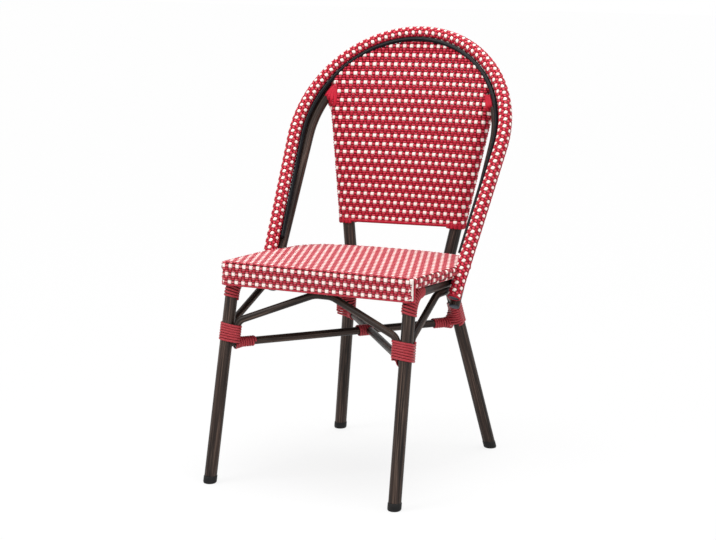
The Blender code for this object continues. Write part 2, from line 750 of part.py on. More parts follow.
def make_cross_rails(chair):
    level = FRONT_RAIL_Z
    y = front_rail_y()
    ends = [Vector((side * front_leg_point(1, level).x, y, level)) for name, side in SIDES]
    front = add_tube("seat_front_rail", ends, CROSS_RAIL_R, THIN_SIDES, chair)
    rear_z = under_seat(0, WAIST_Y - SEAT_FRONT_Y, SEAT_THICKNESS + GAP + CROSS_RAIL_R).z
    rear_ends = [Vector((side * upright_point(1, rear_z).x, WAIST_Y, rear_z)) for name, side in SIDES]
    rear = add_tube("seat_rear_rail", rear_ends, CROSS_RAIL_R, THIN_SIDES, chair)
    for name, side in SIDES:
        cut(front, leg_cutter("leg_for_front_rail_" + name, front_leg_path(side), chair))
        cut(rear, leg_cutter("leg_for_rear_rail_" + name, rear_leg_path(side), chair))
        cut(rear, leg_cutter("rail_for_rear_rail_" + name, front_leg_path(side), chair))


def front_rail_y():
    """Depth of the bent leg's centre line at the front rail's level."""
    path = front_leg_path(1)
    for start, end in zip(path, path[1:]):
        if start.z <= FRONT_RAIL_Z <= end.z:
            return start.lerp(end, (FRONT_RAIL_Z - start.z) / (end.z - start.z)).y
    return leg_corner(1).y


def leg_axes(axis, side):
    """Inward and rearward directions square to a front leg's axis."""
    inward = Vector((-side, 0, 0))
    inward = (inward - axis * inward.dot(axis)).normalized()
    rearward = axis.cross(inward) * -side
    return inward, rearward


def front_leg_axis(side):
    return (front_leg_point(side, 1.0) - front_leg_point(side, 0.0)).normalized()


def rear_bow_offset(side):
    """From a rear leg's centre line to the side bow's end beside it."""
    axis = (rear_leg_point(side, WAIST_Z) - rear_leg_point(side, 0.0)).normalized()
    ahead = side_bow_top(side)[1] - rear_leg_point(side, REAR_BOW_CORNER_Z)
    ahead = (ahead - axis * ahead.dot(axis)).normalized()
    return ahead * BOW_OFFSET


def side_bow_top(side):
    """Stretch of a side bow that runs along under its rail."""
    drop = RAIL_DROP + LEG_TUBE_R + GAP + BOW_TUBE_R
    corner = leg_corner(side)
    hoop = rail_at_hoop(side)
    result = []
    for v in (SIDE_BOW_FRONT_V, SIDE_BOW_REAR_V):
        share = (SEAT_FRONT_Y + v - corner.y) / (hoop.y - corner.y)
        result.append(under_seat(corner.x + (hoop.x - corner.x) * share, v, drop))
    return result


def side_bow_path(side):
    """From beside the front leg, up under the rail, and down beside the rear leg."""
    inward, rearward = leg_axes(front_leg_axis(side), side)
    corners = [front_leg_point(side, z) + rearward * BOW_OFFSET for z in (BOW_END_Z, BOW_CORNER_Z)]
    corners += side_bow_top(side)
    shift = rear_bow_offset(side)
    corners += [rear_leg_point(side, z) + shift for z in (REAR_BOW_CORNER_Z, REAR_BOW_END_Z)]
    return rounded_path(corners, (BOW_CORNER_R, BOW_TOP_R, BOW_TOP_R, BOW_CORNER_R))


def front_bow_path(first_side):
    """From beside one front leg, up under the front rail, and down beside the other."""
    top_z = FRONT_RAIL_Z - CROSS_RAIL_R - GAP - BOW_TUBE_R
    y = front_rail_y()
    halves = []
    for side in (first_side, -first_side):
        inward, rearward = leg_axes(front_leg_axis(side), side)
        half = [front_leg_point(side, z) + inward * BOW_OFFSET for z in (BOW_END_Z, BOW_CORNER_Z)]
        halves.append(half + [Vector((side * FRONT_BOW_FLAT / 2, y, top_z))])
    return rounded_path(halves[0] + halves[1][::-1], (BOW_CORNER_R, BOW_TOP_R, BOW_TOP_R, BOW_CORNER_R))


def make_bows(chair):
    for name, side in SIDES:
        add_tube("side_bow_" + name, side_bow_path(side), BOW_TUBE_R, THIN_SIDES, chair)
    add_tube("front_bow", front_bow_path(-1), BOW_TUBE_R, THIN_SIDES, chair)


def stretcher_ends(front_side):
    return front_leg_point(front_side, STRETCHER_FRONT_Z), rear_leg_point(-front_side, STRETCHER_REAR_Z)


def crossing_point():
    front, rear = stretcher_ends(1)
    return front.lerp(rear, front.x / (front.x - rear.x))


def make_stretcher(chair):
    full = stretcher_ends(-1)
    front, rear = stretcher_ends(1)
    middle = crossing_point()
    bars = [
        ("stretcher_diagonal", full),
        ("stretcher_front_half", (front, middle)),
        ("stretcher_rear_half", (rear, middle)),
    ]
    for name, ends in bars:
        bar = add_tube(name, ends, STRETCHER_TUBE_R, THIN_SIDES, chair)
        if name != "stretcher_diagonal":
            cut(bar, tube_cutter("diagonal_for_" + name, full, STRETCHER_TUBE_R, THIN_SIDES, chair))
        for label, side in SIDES:
            if any(abs(end.x - stretcher_ends(side)[0].x) < GAP for end in ends):
                cut(bar, leg_cutter("front_leg_for_" + name, front_leg_path(side), chair))
            if any(abs(end.x - stretcher_ends(-side)[1].x) < GAP for end in ends):
                cut(bar, leg_cutter("rear_leg_for_" + name, rear_leg_path(side), chair))


# Bindings

def binding_outline(circles, parts):
    """Points round a bundle of tubes, whose edges clear them all.

    The tubes are (x, y, radius) in turn, and parts holds the points spent on each.
    """
    count = len(circles)
    normals = []
    for index, (x, y, radius) in enumerate(circles):
        next_x, next_y, next_radius = circles[(index + 1) % count]
        distance = math.hypot(next_x - x, next_y - y)
        if count > 1:
            heading = math.atan2(next_y - y, next_x - x)
            normals.append(heading - math.acos((radius - next_radius) / distance))
    outline = []
    for index, (x, y, radius) in enumerate(circles):
        begin = normals[index - 1] if count > 1 else 0.0
        sweep = (normals[index] - begin) % (2 * math.pi) if count > 1 else 2 * math.pi
        share = sweep / parts[index]
        reach = (radius + GAP + CORD_R) / math.cos(share / 2)
        for part in range(parts[index]):
            angle = begin + share * (part + 0.5)
            outline.append((x + reach * math.cos(angle), y + reach * math.sin(angle)))
    return outline


def ring_outline(radius):
    """Outline for one round tube, the same at every station."""
    outline = binding_outline([(0, 0, radius)], [12])
    return lambda station: outline


def bundle_outline(origin, axis, first, second, bows):
    """Outline for a leg and the bow ends beside it, taken at each station along the leg."""
    def at_station(station):
        circles = [(0, 0, LEG_TUBE_R)]
        for bow in bows:
            centre, slope = bow_at_station(bow, origin, axis, station)
            circles.append((centre.dot(first), centre.dot(second), BOW_TUBE_R / slope))
        return binding_outline(circles, [12 - 3 * len(bows)] + [3] * len(bows))
    return at_station


def bow_at_station(bow, origin, axis, station):
    """Where a bow's centre line passes a station of a leg, and its slope along the leg there."""
    heights = [(point - origin).dot(axis) for point in bow]
    index = 0
    while heights[index + 1] < station:
        index += 1
    share = (station - heights[index]) / (heights[index + 1] - heights[index])
    way = (bow[index + 1] - bow[index]).normalized()
    return bow[index].lerp(bow[index + 1], share) - origin - axis * station, way.dot(axis)


def wind(name, chair, place, outline_at, stations):
    """One unbroken cord: it goes round the outline once between each two stations.

    Each turn lies square to its path and moves on to the next station half way round.
    """
    points = []
    per_loop = len(outline_at(stations[0]))
    for low, high in zip(stations, stations[1:]):
        for index in range(per_loop):
            share = min(max(2 * index / per_loop - 0.5, 0.0), 1.0)
            station = low + (high - low) * share
            points.append(place(station, *outline_at(station)[index]))
    points.append(place(stations[-1], *outline_at(stations[-1])[0]))
    start = (points[0] - points[1]).normalized()
    finish = (points[-1] - points[-2]).normalized()
    points = [points[0] + start * 2 * CORD_R] + points + [points[-1] + finish * 2 * CORD_R]
    curve = bpy.data.curves.new(name, "CURVE")
    curve.dimensions = "3D"
    curve.bevel_depth = CORD_R
    curve.bevel_resolution = 1
    curve.use_fill_caps = True
    spline = curve.splines.new("POLY")
    spline.points.add(len(points) - 1)
    for target, point in zip(spline.points, points):
        target.co = (*point, 1.0)
    spline.use_smooth = True
    add_object(name, curve, CORD_RED, chair)
    print(name, "least gap between turns, mm:", round(1000 * least_gap(points, per_loop), 3))


def least_gap(points, per_loop, between=6):
    """Least air between parts of the cord that lie at least half a turn apart."""
    dense = []
    for start, end in zip(points, points[1:]):
        dense += [start.lerp(end, step / between) for step in range(between)]
    apart = per_loop * between // 2
    least = min(
        (dense[i] - dense[j]).length_squared
        for i in range(len(dense))
        for j in range(i + apart, len(dense))
    )
    return math.sqrt(least) - 2 * CORD_R


def straight_place(origin, axis, first, second):
    def place(s, a, b):
        return origin + axis * s + first * a + second * b
    return place


def path_place(path, side):
    """Placing along a bent path: s is measured from the path's first point."""
    lengths = [0.0]
    for start, end in zip(path, path[1:]):
        lengths.append(lengths[-1] + (end - start).length)
    ways = tangents(path)

    def place(s, a, b):
        index = 0
        while index + 2 < len(path) and lengths[index + 1] < s:
            index += 1
        share = (s - lengths[index]) / (lengths[index + 1] - lengths[index])
        centre = path[index].lerp(path[index + 1], share)
        way = ways[index].lerp(ways[index + 1], share).normalized()
        inward, rearward = leg_axes(way, side)
        return centre + inward * a + rearward * b
    return place


def even_stations(first, pitch, loops):
    return [first + pitch * index for index in range(loops + 1)]


def make_bindings(chair):
    for name, side in SIDES:
        bind_front_leg(chair, name, side)
        bind_front_bend(chair, name, side)
        bind_rear_leg(chair, name, side)
    bind_stretcher(chair)


def bind_front_leg(chair, name, side):
    axis = front_leg_axis(side)
    inward, rearward = leg_axes(axis, side)
    origin = front_leg_point(side, FRONT_BINDING_Z)
    place = straight_place(origin, axis, inward, rearward)
    bows = [front_bow_path(side), side_bow_path(side)]
    outline = bundle_outline(origin, axis, inward, rearward, bows)
    stations = even_stations(0, CORD_PITCH, FRONT_BINDING_LOOPS)
    wind("front_binding_" + name, chair, place, outline, stations)


def bend_stations(path):
    """Turns below the front rail, then on past it round the bend."""
    length = 0.0
    for start, end in zip(path, path[1:]):
        if start.z <= FRONT_RAIL_Z <= end.z:
            length += (end - start).length * (FRONT_RAIL_Z - start.z) / (end.z - start.z)
            break
        length += (end - start).length
    reach = CROSS_RAIL_R + CORD_R + 6 * GAP
    below = [length - reach - BEND_CORD_PITCH * index for index in range(BEND_LOOPS_BELOW + 1)][::-1]
    lead = [below[0] - CORD_PITCH * index for index in range(1, LEG_TOP_LOOPS + 1)][::-1]
    above = [length + reach + BEND_CORD_PITCH * index for index in range(BEND_LOOPS_ABOVE + 1)]
    return lead + below + above


def bound_bend(side, steps=12):
    """Centre line of the stretch that the upper binding covers, a little longer at both ends."""
    path = front_leg_path(side)
    stations = bend_stations(path)
    low = stations[0] - 3 * CORD_R
    high = stations[-1] + 3 * CORD_R
    place = path_place(path, side)
    return [place(low + (high - low) * step / steps, 0, 0) for step in range(steps + 1)]


def bind_front_bend(chair, name, side):
    path = front_leg_path(side)
    outline = ring_outline(LEG_TUBE_R)
    wind("front_top_binding_" + name, chair, path_place(path, side), outline, bend_stations(path))


def bind_rear_leg(chair, name, side):
    low = rear_leg_point(side, REAR_BINDING_Z)
    axis = (rear_leg_point(side, WAIST_Z) - rear_leg_point(side, 0)).normalized()
    ahead = rear_bow_offset(side).normalized()
    place = straight_place(low, axis, ahead, axis.cross(ahead))
    outline = bundle_outline(low, axis, ahead, axis.cross(ahead), [side_bow_path(side)[::-1]])
    stations = even_stations(0, CORD_PITCH, REAR_BINDING_LOOPS)
    wind("rear_binding_" + name, chair, place, outline, stations)


def bind_stretcher(chair):
    outline = ring_outline(STRETCHER_TUBE_R)
    away = BOW_OFFSET + BOW_TUBE_R + 2 * CORD_R
    stations = even_stations(0, CORD_PITCH, END_BINDING_LOOPS)
    for name, side in SIDES:
        front, rear = stretcher_ends(side)
        both = (("front_" + name, front, rear), ("rear_" + opposite(name), rear, front))
        for label, end, other in both:
            axis = (other - end).normalized()
            across = axis.cross(Vector((0, 0, 1))).normalized()
            place = straight_place(end + axis * away, axis, across, axis.cross(across))
            wind("stretcher_binding_" + label, chair, place, outline, stations)
    front, rear = stretcher_ends(-1)
    axis = (front - rear).normalized()
    across = axis.cross(Vector((0, 0, 1))).normalized()
    start = crossing_point() + axis * 2.2 * (STRETCHER_TUBE_R + CORD_R)
    place = straight_place(start, axis, across, axis.cross(across))
    wind("crossing_binding", chair, place, outline, even_stations(0, CORD_PITCH, CROSSING_LOOPS))


def opposite(name):
    return "right" if name == "left" else "left"


def main():
    clear_scene()
    chair = add_empty("chair", (0, -CHAIR_MIDDLE_Y, 0))
    seat_plane = add_empty("seat_plane", (0, SEAT_FRONT_Y, SEAT_HEIGHT), chair)
    seat_plane.rotation_euler.x = -math.atan(SEAT_FALL)
    make_rear_legs(chair)
    make_front_legs(chair)
    make_cross_rails(chair)
    make_hoop(chair)
    make_back(chair)
    make_seat(chair, seat_plane)
    make_bows(chair)
    make_stretcher(chair)
    make_bindings(chair)


main()
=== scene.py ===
"""Looks of the woven bistro chair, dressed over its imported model.

Points are worked out from the line between the front feet, and each finished
piece is moved by DEPTH_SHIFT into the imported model's own frame. Lengths are metres.
"""
import math

import bpy
import numpy as np
from mathutils import Matrix, Vector
from mathutils.geometry import convex_hull_2d


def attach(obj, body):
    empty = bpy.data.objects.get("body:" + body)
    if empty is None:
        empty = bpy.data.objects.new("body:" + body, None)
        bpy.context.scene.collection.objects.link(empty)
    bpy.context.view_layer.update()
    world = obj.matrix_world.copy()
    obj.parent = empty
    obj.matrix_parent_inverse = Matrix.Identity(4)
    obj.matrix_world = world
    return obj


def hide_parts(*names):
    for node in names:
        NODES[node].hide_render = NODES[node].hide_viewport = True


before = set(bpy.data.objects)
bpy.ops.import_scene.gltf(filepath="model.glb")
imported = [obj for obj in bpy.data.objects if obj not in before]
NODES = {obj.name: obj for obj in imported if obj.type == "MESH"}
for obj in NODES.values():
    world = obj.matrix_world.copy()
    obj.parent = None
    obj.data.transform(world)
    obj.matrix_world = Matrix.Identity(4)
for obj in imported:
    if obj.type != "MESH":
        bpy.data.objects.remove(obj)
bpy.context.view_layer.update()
DEPTH_SHIFT = -0.2759541
SIDES = (("left", -1), ("right", 1))
UPWARD = Vector((0, 0, 1))

# Tube radii
LEG_TUBE_R = 0.013
BOW_TUBE_R = 0.0075
STRETCHER_TUBE_R = 0.008
CROSS_RAIL_R = 0.008
HOOP_TUBE_R = 0.011
BACK_ROD_R = 0.006
PIPING_R = 0.0048

# Frame lines
FRONT_FOOT_X = 0.2101
FRONT_LEG_TOE_IN = 0.0229
FRONT_LEG_RAKE = 0.2075
LEG_RADII = (0.045, 0.070, 0.070)
REAR_FOOT = (0.1851, 0.5232)
WAIST = (0.1128, 0.4398, 0.400)
WAIST_BEND_R = 0.09
UPRIGHT_FLARE = 0.176
UPRIGHT_LEAN = 0.166
UPRIGHT_TOP_Z = 0.777
GLIDE_HEIGHT = 0.014

# Seat
SEAT_HEIGHT = 0.450
SEAT_FRONT_Y = 0.061
SEAT_FALL = 0.03
SEAT_FRONT_HALF = 0.2192
SEAT_MIDDLE = (0.2240, 0.170)
SEAT_REAR = (0.2005, 0.352)
SEAT_DEPTH = 0.392
SEAT_RADII = (0.011, 0.25, 0.095, 0.50)
SEAT_THICKNESS = 0.0213
APRON_HEIGHT = 0.049
RAIL_DROP = 0.0346
RAIL_TURN_V = 0.300
RAIL_TURN_X = 0.184

# Hoop
HOOP_Y = 0.2862
HOOP_LEAN = math.radians(31.0)
HOOP_CENTRE_S = 0.272
WOVEN_ARCH_R = 0.2445
WOVEN_SPLAY = math.radians(4.0)
WOVEN_END_S = -0.0805
WOVEN_TOP_S = HOOP_CENTRE_S + WOVEN_ARCH_R
TUBE_ARCH_R = 0.2195
TUBE_SPLAY = math.radians(0.9)
TUBE_END_S = -0.088
TUBE_BACK_LOW = 0.0261
TUBE_BACK_TOP = 0.013
PIPING_END_S = 0.020
PIPING_REACH = 0.0199
PIPING_LOW_DEGREES = -16.0
PIPING_TURN_DEGREES = 38.0
ARCH_LEG_STEPS = 24
ARCH_STEPS = 96

# Back panel
PANEL_BOTTOM_Z = 0.4935
PANEL_CENTRE_LEAN = 0.2568
PANEL_FLAP_DROP = 0.005
PANEL_FLAP_TOP_Z = 0.762
BACK_ROD_RISE = 0.016
BACK_ROD_DEPTH = 0.0104

# Bows and stretcher
BOW_OFFSET = 0.0208
BOW_END_Z = 0.290
BOW_CORNER_Z = 0.3284
BOW_RADII = (0.022, 0.050, 0.050, 0.022)
FRONT_BOW_FLAT = 0.040
SIDE_BOW_V = (0.160, 0.215)
REAR_BOW_END_Z = 0.297
REAR_BOW_CORNER_Z = 0.33925
STRETCHER_FRONT_Z = 0.2812
STRETCHER_REAR_Z = 0.2870
FRONT_RAIL_Z = 0.4065


# Lines that the frame follows

def front_leg_point(side, z):
    return Vector((side * (FRONT_FOOT_X - FRONT_LEG_TOE_IN * z), FRONT_LEG_RAKE * z, z))


def rear_leg_point(side, z):
    share = z / WAIST[2]
    x = REAR_FOOT[0] + (WAIST[0] - REAR_FOOT[0]) * share
    y = REAR_FOOT[1] + (WAIST[1] - REAR_FOOT[1]) * share
    return Vector((side * x, y, z))


def leg_axis(leg_point, side):
    return (leg_point(side, 1.0) - leg_point(side, 0.0)).normalized()


def leg_axes(axis, side):
    """Inward and rearward directions square to a front leg's axis."""
    inward = Vector((-side, 0, 0))
    inward = (inward - axis * inward.dot(axis)).normalized()
    return inward, axis.cross(inward) * -side


def upright_x(z):
    return WAIST[0] + UPRIGHT_FLARE * (z - WAIST[2])


def upright_y(z):
    return WAIST[1] + UPRIGHT_LEAN * (z - WAIST[2])


def upright_point(side, z):
    return Vector((side * upright_x(z), upright_y(z), z))


def under_seat(x, v, drop):
    return Vector((x, SEAT_FRONT_Y + v, SEAT_HEIGHT - SEAT_FALL * v - drop))


def hoop_point(x, s, back):
    y = HOOP_Y + s * math.sin(HOOP_LEAN) + back * math.cos(HOOP_LEAN)
    z = SEAT_HEIGHT + s * math.cos(HOOP_LEAN) - back * math.sin(HOOP_LEAN)
    return Vector((x, y, z))


def tube_back(s):
    share = (s - WOVEN_END_S) / (WOVEN_TOP_S - WOVEN_END_S)
    return TUBE_BACK_LOW + (TUBE_BACK_TOP - TUBE_BACK_LOW) * share


def arch_plan(radius, splay, end_s):
    """Left foot to right foot of an arch, as (x, s) pairs in its plane."""
    knee_x, knee_s = radius * math.cos(splay), HOOP_CENTRE_S - radius * math.sin(splay)
    foot = Vector((math.tan(splay) * (knee_s - end_s) - knee_x, end_s))
    knee = Vector((-knee_x, knee_s))
    leg = [foot.lerp(knee, step / ARCH_LEG_STEPS) for step in range(ARCH_LEG_STEPS)]
    arc = []
    for step in range(ARCH_STEPS + 1):
        angle = math.pi + splay - (math.pi + 2 * splay) * step / ARCH_STEPS
        arc.append(Vector((radius * math.cos(angle), HOOP_CENTRE_S + radius * math.sin(angle))))
    return leg + arc + [Vector((-point.x, point.y)) for point in reversed(leg)]


def bare_hoop_path():
    return [hoop_point(x, s, tube_back(s)) for x, s in arch_plan(TUBE_ARCH_R, TUBE_SPLAY, TUBE_END_S)]


def piping_path():
    """The piping lies on the woven hoop's inner side and turns to its front at the top."""
    points = []
    for x, s in arch_plan(WOVEN_ARCH_R, WOVEN_SPLAY, PIPING_END_S):
        share = (s - PIPING_END_S) / (WOVEN_TOP_S - PIPING_END_S)
        angle = math.radians(PIPING_LOW_DEGREES + PIPING_TURN_DEGREES * share * share)
        rise = max(s - HOOP_CENTRE_S, 0.0)
        inward = Vector((-x, -rise)).normalized() * PIPING_REACH * math.cos(angle)
        points.append(hoop_point(x + inward.x, s + inward.y, -PIPING_REACH * math.sin(angle)))
    return points


def leg_corner(side):
    level = SEAT_HEIGHT + SEAT_FALL * SEAT_FRONT_Y - RAIL_DROP
    return front_leg_point(side, level / (1 + SEAT_FALL * FRONT_LEG_RAKE))


def rail_at_hoop(side):
    path = bare_hoop_path()
    foot, knee = path[-1], path[-ARCH_LEG_STEPS]
    low, high = [point.z - under_seat(0, point.y - SEAT_FRONT_Y, RAIL_DROP).z for point in (foot, knee)]
    meet = foot.lerp(knee, low / (low - high))
    return under_seat(side * (meet.x - HOOP_TUBE_R - LEG_TUBE_R), meet.y - SEAT_FRONT_Y, RAIL_DROP)


def front_leg_corners(side):
    end = upright_point(side, under_seat(0, WAIST[1] - SEAT_FRONT_Y, RAIL_DROP).z)
    turn = under_seat(side * RAIL_TURN_X, RAIL_TURN_V, RAIL_DROP)
    return [front_leg_point(side, GLIDE_HEIGHT), leg_corner(side), rail_at_hoop(side), turn, end]


def rear_leg_corners(side):
    waist = Vector((side * WAIST[0], WAIST[1], WAIST[2]))
    return [rear_leg_point(side, GLIDE_HEIGHT), waist, upright_point(side, UPRIGHT_TOP_Z)]


def side_bow_top(side):
    drop = RAIL_DROP + LEG_TUBE_R + BOW_TUBE_R
    corner, hoop = leg_corner(side), rail_at_hoop(side)
    result = []
    for v in SIDE_BOW_V:
        share = (SEAT_FRONT_Y + v - corner.y) / (hoop.y - corner.y)
        result.append(under_seat(corner.x + (hoop.x - corner.x) * share, v, drop))
    return result


def rear_bow_offset(side):
    axis = leg_axis(rear_leg_point, side)
    ahead = side_bow_top(side)[1] - rear_leg_point(side, REAR_BOW_CORNER_Z)
    return (ahead - axis * ahead.dot(axis)).normalized() * BOW_OFFSET


def front_bow_ends(side, direction):
    """The end and the corner of a bow that lies beside a front leg: inward 0, rearward 1."""
    away = leg_axes(leg_axis(front_leg_point, side), side)[direction] * BOW_OFFSET
    return [front_leg_point(side, z) + away for z in (BOW_END_Z, BOW_CORNER_Z)]


def side_bow_corners(side):
    shift = rear_bow_offset(side)
    rear = [rear_leg_point(side, z) + shift for z in (REAR_BOW_CORNER_Z, REAR_BOW_END_Z)]
    return front_bow_ends(side, 1) + side_bow_top(side) + rear


def front_rail_y():
    path = bend_line(front_leg_corners(1), LEG_RADII)
    for start, end in zip(path, path[1:]):
        if start.z <= FRONT_RAIL_Z <= end.z:
            return start.lerp(end, (FRONT_RAIL_Z - start.z) / (end.z - start.z)).y


def front_bow_corners(first_side):
    top_z = FRONT_RAIL_Z - CROSS_RAIL_R - BOW_TUBE_R
    halves = []
    for side in (first_side, -first_side):
        top = Vector((side * FRONT_BOW_FLAT / 2, front_rail_y(), top_z))
        halves.append(front_bow_ends(side, 0) + [top])
    return halves[0] + halves[1][::-1]


def stretcher_ends(front_side):
    return front_leg_point(front_side, STRETCHER_FRONT_Z), rear_leg_point(-front_side, STRETCHER_REAR_Z)


def crossing_point():
    front, rear = stretcher_ends(1)
    return front.lerp(rear, front.x / (front.x - rear.x))


def bend_arc(before, corner, after, radius):
    """Start, end, centre, axis and angle of the arc that rounds a corner."""
    back = (before - corner).normalized()
    ahead = (after - corner).normalized()
    turn = math.pi - back.angle(ahead)
    reach = radius * math.tan(turn / 2)
    centre = corner + (back + ahead).normalized() * (radius / math.cos(turn / 2))
    start = corner + back * reach
    end = corner + ahead * reach
    return start, end, centre, (start - centre).cross(end - centre).normalized(), turn


def bend_line(corners, radii, step=math.radians(4.0)):
    points = [corners[0]]
    for before, corner, after, radius in zip(corners, corners[1:], corners[2:], radii):
        start, _, centre, axis, turn = bend_arc(before, corner, after, radius)
        steps = max(2, math.ceil(turn / step))
        for index in range(steps + 1):
            points.append(centre + Matrix.Rotation(turn * index / steps, 3, axis) @ (start - centre))
    return points + [corners[-1]]


# Materials

class Amount:
    """A number that changes over a surface; arithmetic on it adds Math nodes."""

    def __init__(self, finish, socket):
        self.finish = finish
        self.socket = socket

    def combine(self, operation, first, second):
        return self.finish.amount("ShaderNodeMath", {"operation": operation}, {0: first, 1: second})

    def __add__(self, other):
        return self.combine("ADD", self, other)

    def __radd__(self, other):
        return self.combine("ADD", other, self)

    def __sub__(self, other):
        return self.combine("SUBTRACT", self, other)

    def __rsub__(self, other):
        return self.combine("SUBTRACT", other, self)

    def __mul__(self, other):
        return self.combine("MULTIPLY", self, other)

    def __rmul__(self, other):
        return self.combine("MULTIPLY", other, self)


class Nodes:
    """The nodes of a material or of the world, all added by one method."""

    def __init__(self, owner):
        owner.use_nodes = True
        self.tree = owner.node_tree

    def feed(self, socket, value):
        if isinstance(value, Amount):
            self.tree.links.new(value.socket, socket)
        elif isinstance(value, bpy.types.NodeSocket):
            self.tree.links.new(value, socket)
        else:
            socket.default_value = value

    def node(self, kind, settings, sockets):
        made = self.tree.nodes.new(kind)
        for name, value in settings.items():
            setattr(made, name, value)
        for name, value in sockets.items():
            self.feed(made.inputs[name], value)
        return made

    def amount(self, kind, settings, sockets, output=0):
        return Amount(self, self.node(kind, settings, sockets).outputs[output])

    def object_place(self):
        return self.node("ShaderNodeTexCoord", {}, {}).outputs["Object"]

    def seen(self):
        """1 for rays from the camera, and for what gloss and glass show; 0 for light."""
        path = self.node("ShaderNodeLightPath", {}, {})
        rays = "Is Camera Ray", "Is Glossy Ray", "Is Transmission Ray"
        camera, gloss, glass = [Amount(self, path.outputs[ray]) for ray in rays]
        return camera.combine("MAXIMUM", camera, gloss.combine("MAXIMUM", gloss, glass))


class Finish(Nodes):
    """A procedural material: steady values sit on its shader's own sockets."""

    def __init__(self, name, steady):
        self.material = bpy.data.materials.new(name)
        super().__init__(self.material)
        self.shader = self.tree.nodes["Principled BSDF"]
        for socket, value in steady.items():
            self.shader.inputs[socket].default_value = value

    def own(self, attribute):
        """An attribute that a piece's mesh carries."""
        return self.node("ShaderNodeAttribute", {"attribute_name": attribute}, {}).outputs["Vector"]

    def part_of(self, attribute, axis):
        return self.amount("ShaderNodeSeparateXYZ", {}, {0: self.own(attribute)}, axis)

    def noise(self, attribute, scale, detail):
        """Noise over a piece's own attribute, or over its Object coordinates, scaled per axis."""
        place = self.own(attribute) if attribute else self.object_place()
        scaled = self.node("ShaderNodeVectorMath", {"operation": "MULTIPLY"}, {0: place, 1: scale})
        sockets = {"Vector": scaled.outputs[0], "Scale": 1.0, "Detail": detail}
        return self.amount("ShaderNodeTexNoise", {}, sockets)

    def between(self, value, low, high):
        sockets = {"Value": value, "From Min": low, "From Max": high}
        return self.amount("ShaderNodeMapRange", {"interpolation_type": "SMOOTHSTEP"}, sockets)

    def blend(self, share, first, second):
        sockets = {0: share, 6: first, 7: second}
        return self.node("ShaderNodeMix", {"data_type": "RGBA"}, sockets).outputs[2]

    def made_of(self, colour, roughness, height, distance, strength):
        """Feeds what changes over the surface, its bump too, and gives the material."""
        sockets = {"Height": height, "Distance": distance, "Strength": strength}
        bump = self.node("ShaderNodeBump", {}, sockets).outputs[0]
        for socket, value in (("Base Color", colour), ("Roughness", roughness), ("Normal", bump)):
            self.feed(self.shader.inputs[socket], value)
        return self.material


def strand_finish(name, tones, highlight_strength, steady):
    """Moulded strand, with painted shade where it dips under other strands and at its edges, and a painted
    highlight where it comes up over them.
    """
    deep, plain, light = tones
    finish = Finish(name, steady)
    height = finish.part_of("rise", "X")
    side = finish.between(finish.part_of("rise", "Y"), 0.55, 1.0)
    streaks = finish.noise("lay", (1600.0, 60.0, 7.3), 2.0)
    clouds = finish.noise("lay", (60.0, 38.0, 3.1), 2.0)
    # Painted shade: darker where the strand dips under others and towards its edges, with random clouds of
    # tone
    body = finish.between(height, -0.25, 0.6) * (1.0 - 0.5 * side) * (0.8 + 0.4 * clouds)
    # Painted highlight: lighter where the strand comes up over others, broken up by its streaks
    painted_highlight = finish.between(height, 0.35, 1.0) * (1.0 - 0.7 * side) * (0.35 + 1.3 * streaks) * highlight_strength
    colour = finish.blend(painted_highlight, finish.blend(body, deep, plain), light)
    return finish.made_of(colour, 0.34 + 0.2 * streaks, streaks, 0.0003, 0.5)


def wood_grain_finish():
    dark, brown = (0.0056, 0.0038, 0.0032, 1), (0.045, 0.0270, 0.0205, 1)
    light, black = (0.130, 0.086, 0.066, 1), (0.0035, 0.0028, 0.0026, 1)
    finish = Finish("wood_grain_tube", {"Specular IOR Level": 0.20})
    grain = finish.noise("grain", (360.0, 360.0, 8.0), 4.0)
    broad = finish.noise("grain", (150.0, 150.0, 4.0), 2.0)
    mottle = finish.noise("grain", (60.0, 60.0, 22.0), 3.0)
    colour = finish.blend(finish.between(broad, 0.3, 0.72), dark, brown)
    colour = finish.blend(finish.between(grain, 0.48, 0.72) * 0.75, colour, light)
    colour = finish.blend(finish.between(mottle, 0.55, 0.85) * 0.5, colour, black)
    return finish.made_of(colour, 0.30 + 0.22 * grain, grain, 0.0002, 0.35)


def piping_finish():
    finish = Finish("gloss_piping", {"Specular IOR Level": 0.10})
    ripple = finish.noise("lay", (90.0, 30.0, 1.0), 2.0)
    colour = finish.blend(ripple, (0.0030, 0.0034, 0.0042, 1), (0.008, 0.009, 0.011, 1))
    return finish.made_of(colour, 0.08 + 0.08 * ripple, ripple, 0.0002, 0.2)


def moulded_plastic_finish(name, deep, plain):
    finish = Finish(name, {"Specular IOR Level": 0.22})
    pits = finish.noise(None, (900.0, 900.0, 900.0), 3.0)
    scuffs = finish.noise(None, (120.0, 120.0, 60.0), 4.0)
    colour = finish.blend(finish.between(scuffs, 0.35, 0.75), deep, plain)
    return finish.made_of(colour, 0.42 + 0.25 * scuffs, pits, 0.0002, 0.4)


def bare_metal_finish():
    finish = Finish("bare_inner_frame", {"Metallic": 1.0})
    drawn = finish.noise(None, (25.0, 700.0, 700.0), 3.0)
    stains = finish.noise(None, (40.0, 40.0, 40.0), 3.0)
    colour = finish.blend(finish.between(stains, 0.35, 0.7), (0.30, 0.30, 0.31, 1), (0.52, 0.52, 0.53, 1))
    return finish.made_of(colour, 0.3 + 0.25 * drawn, drawn, 0.0001, 0.3)
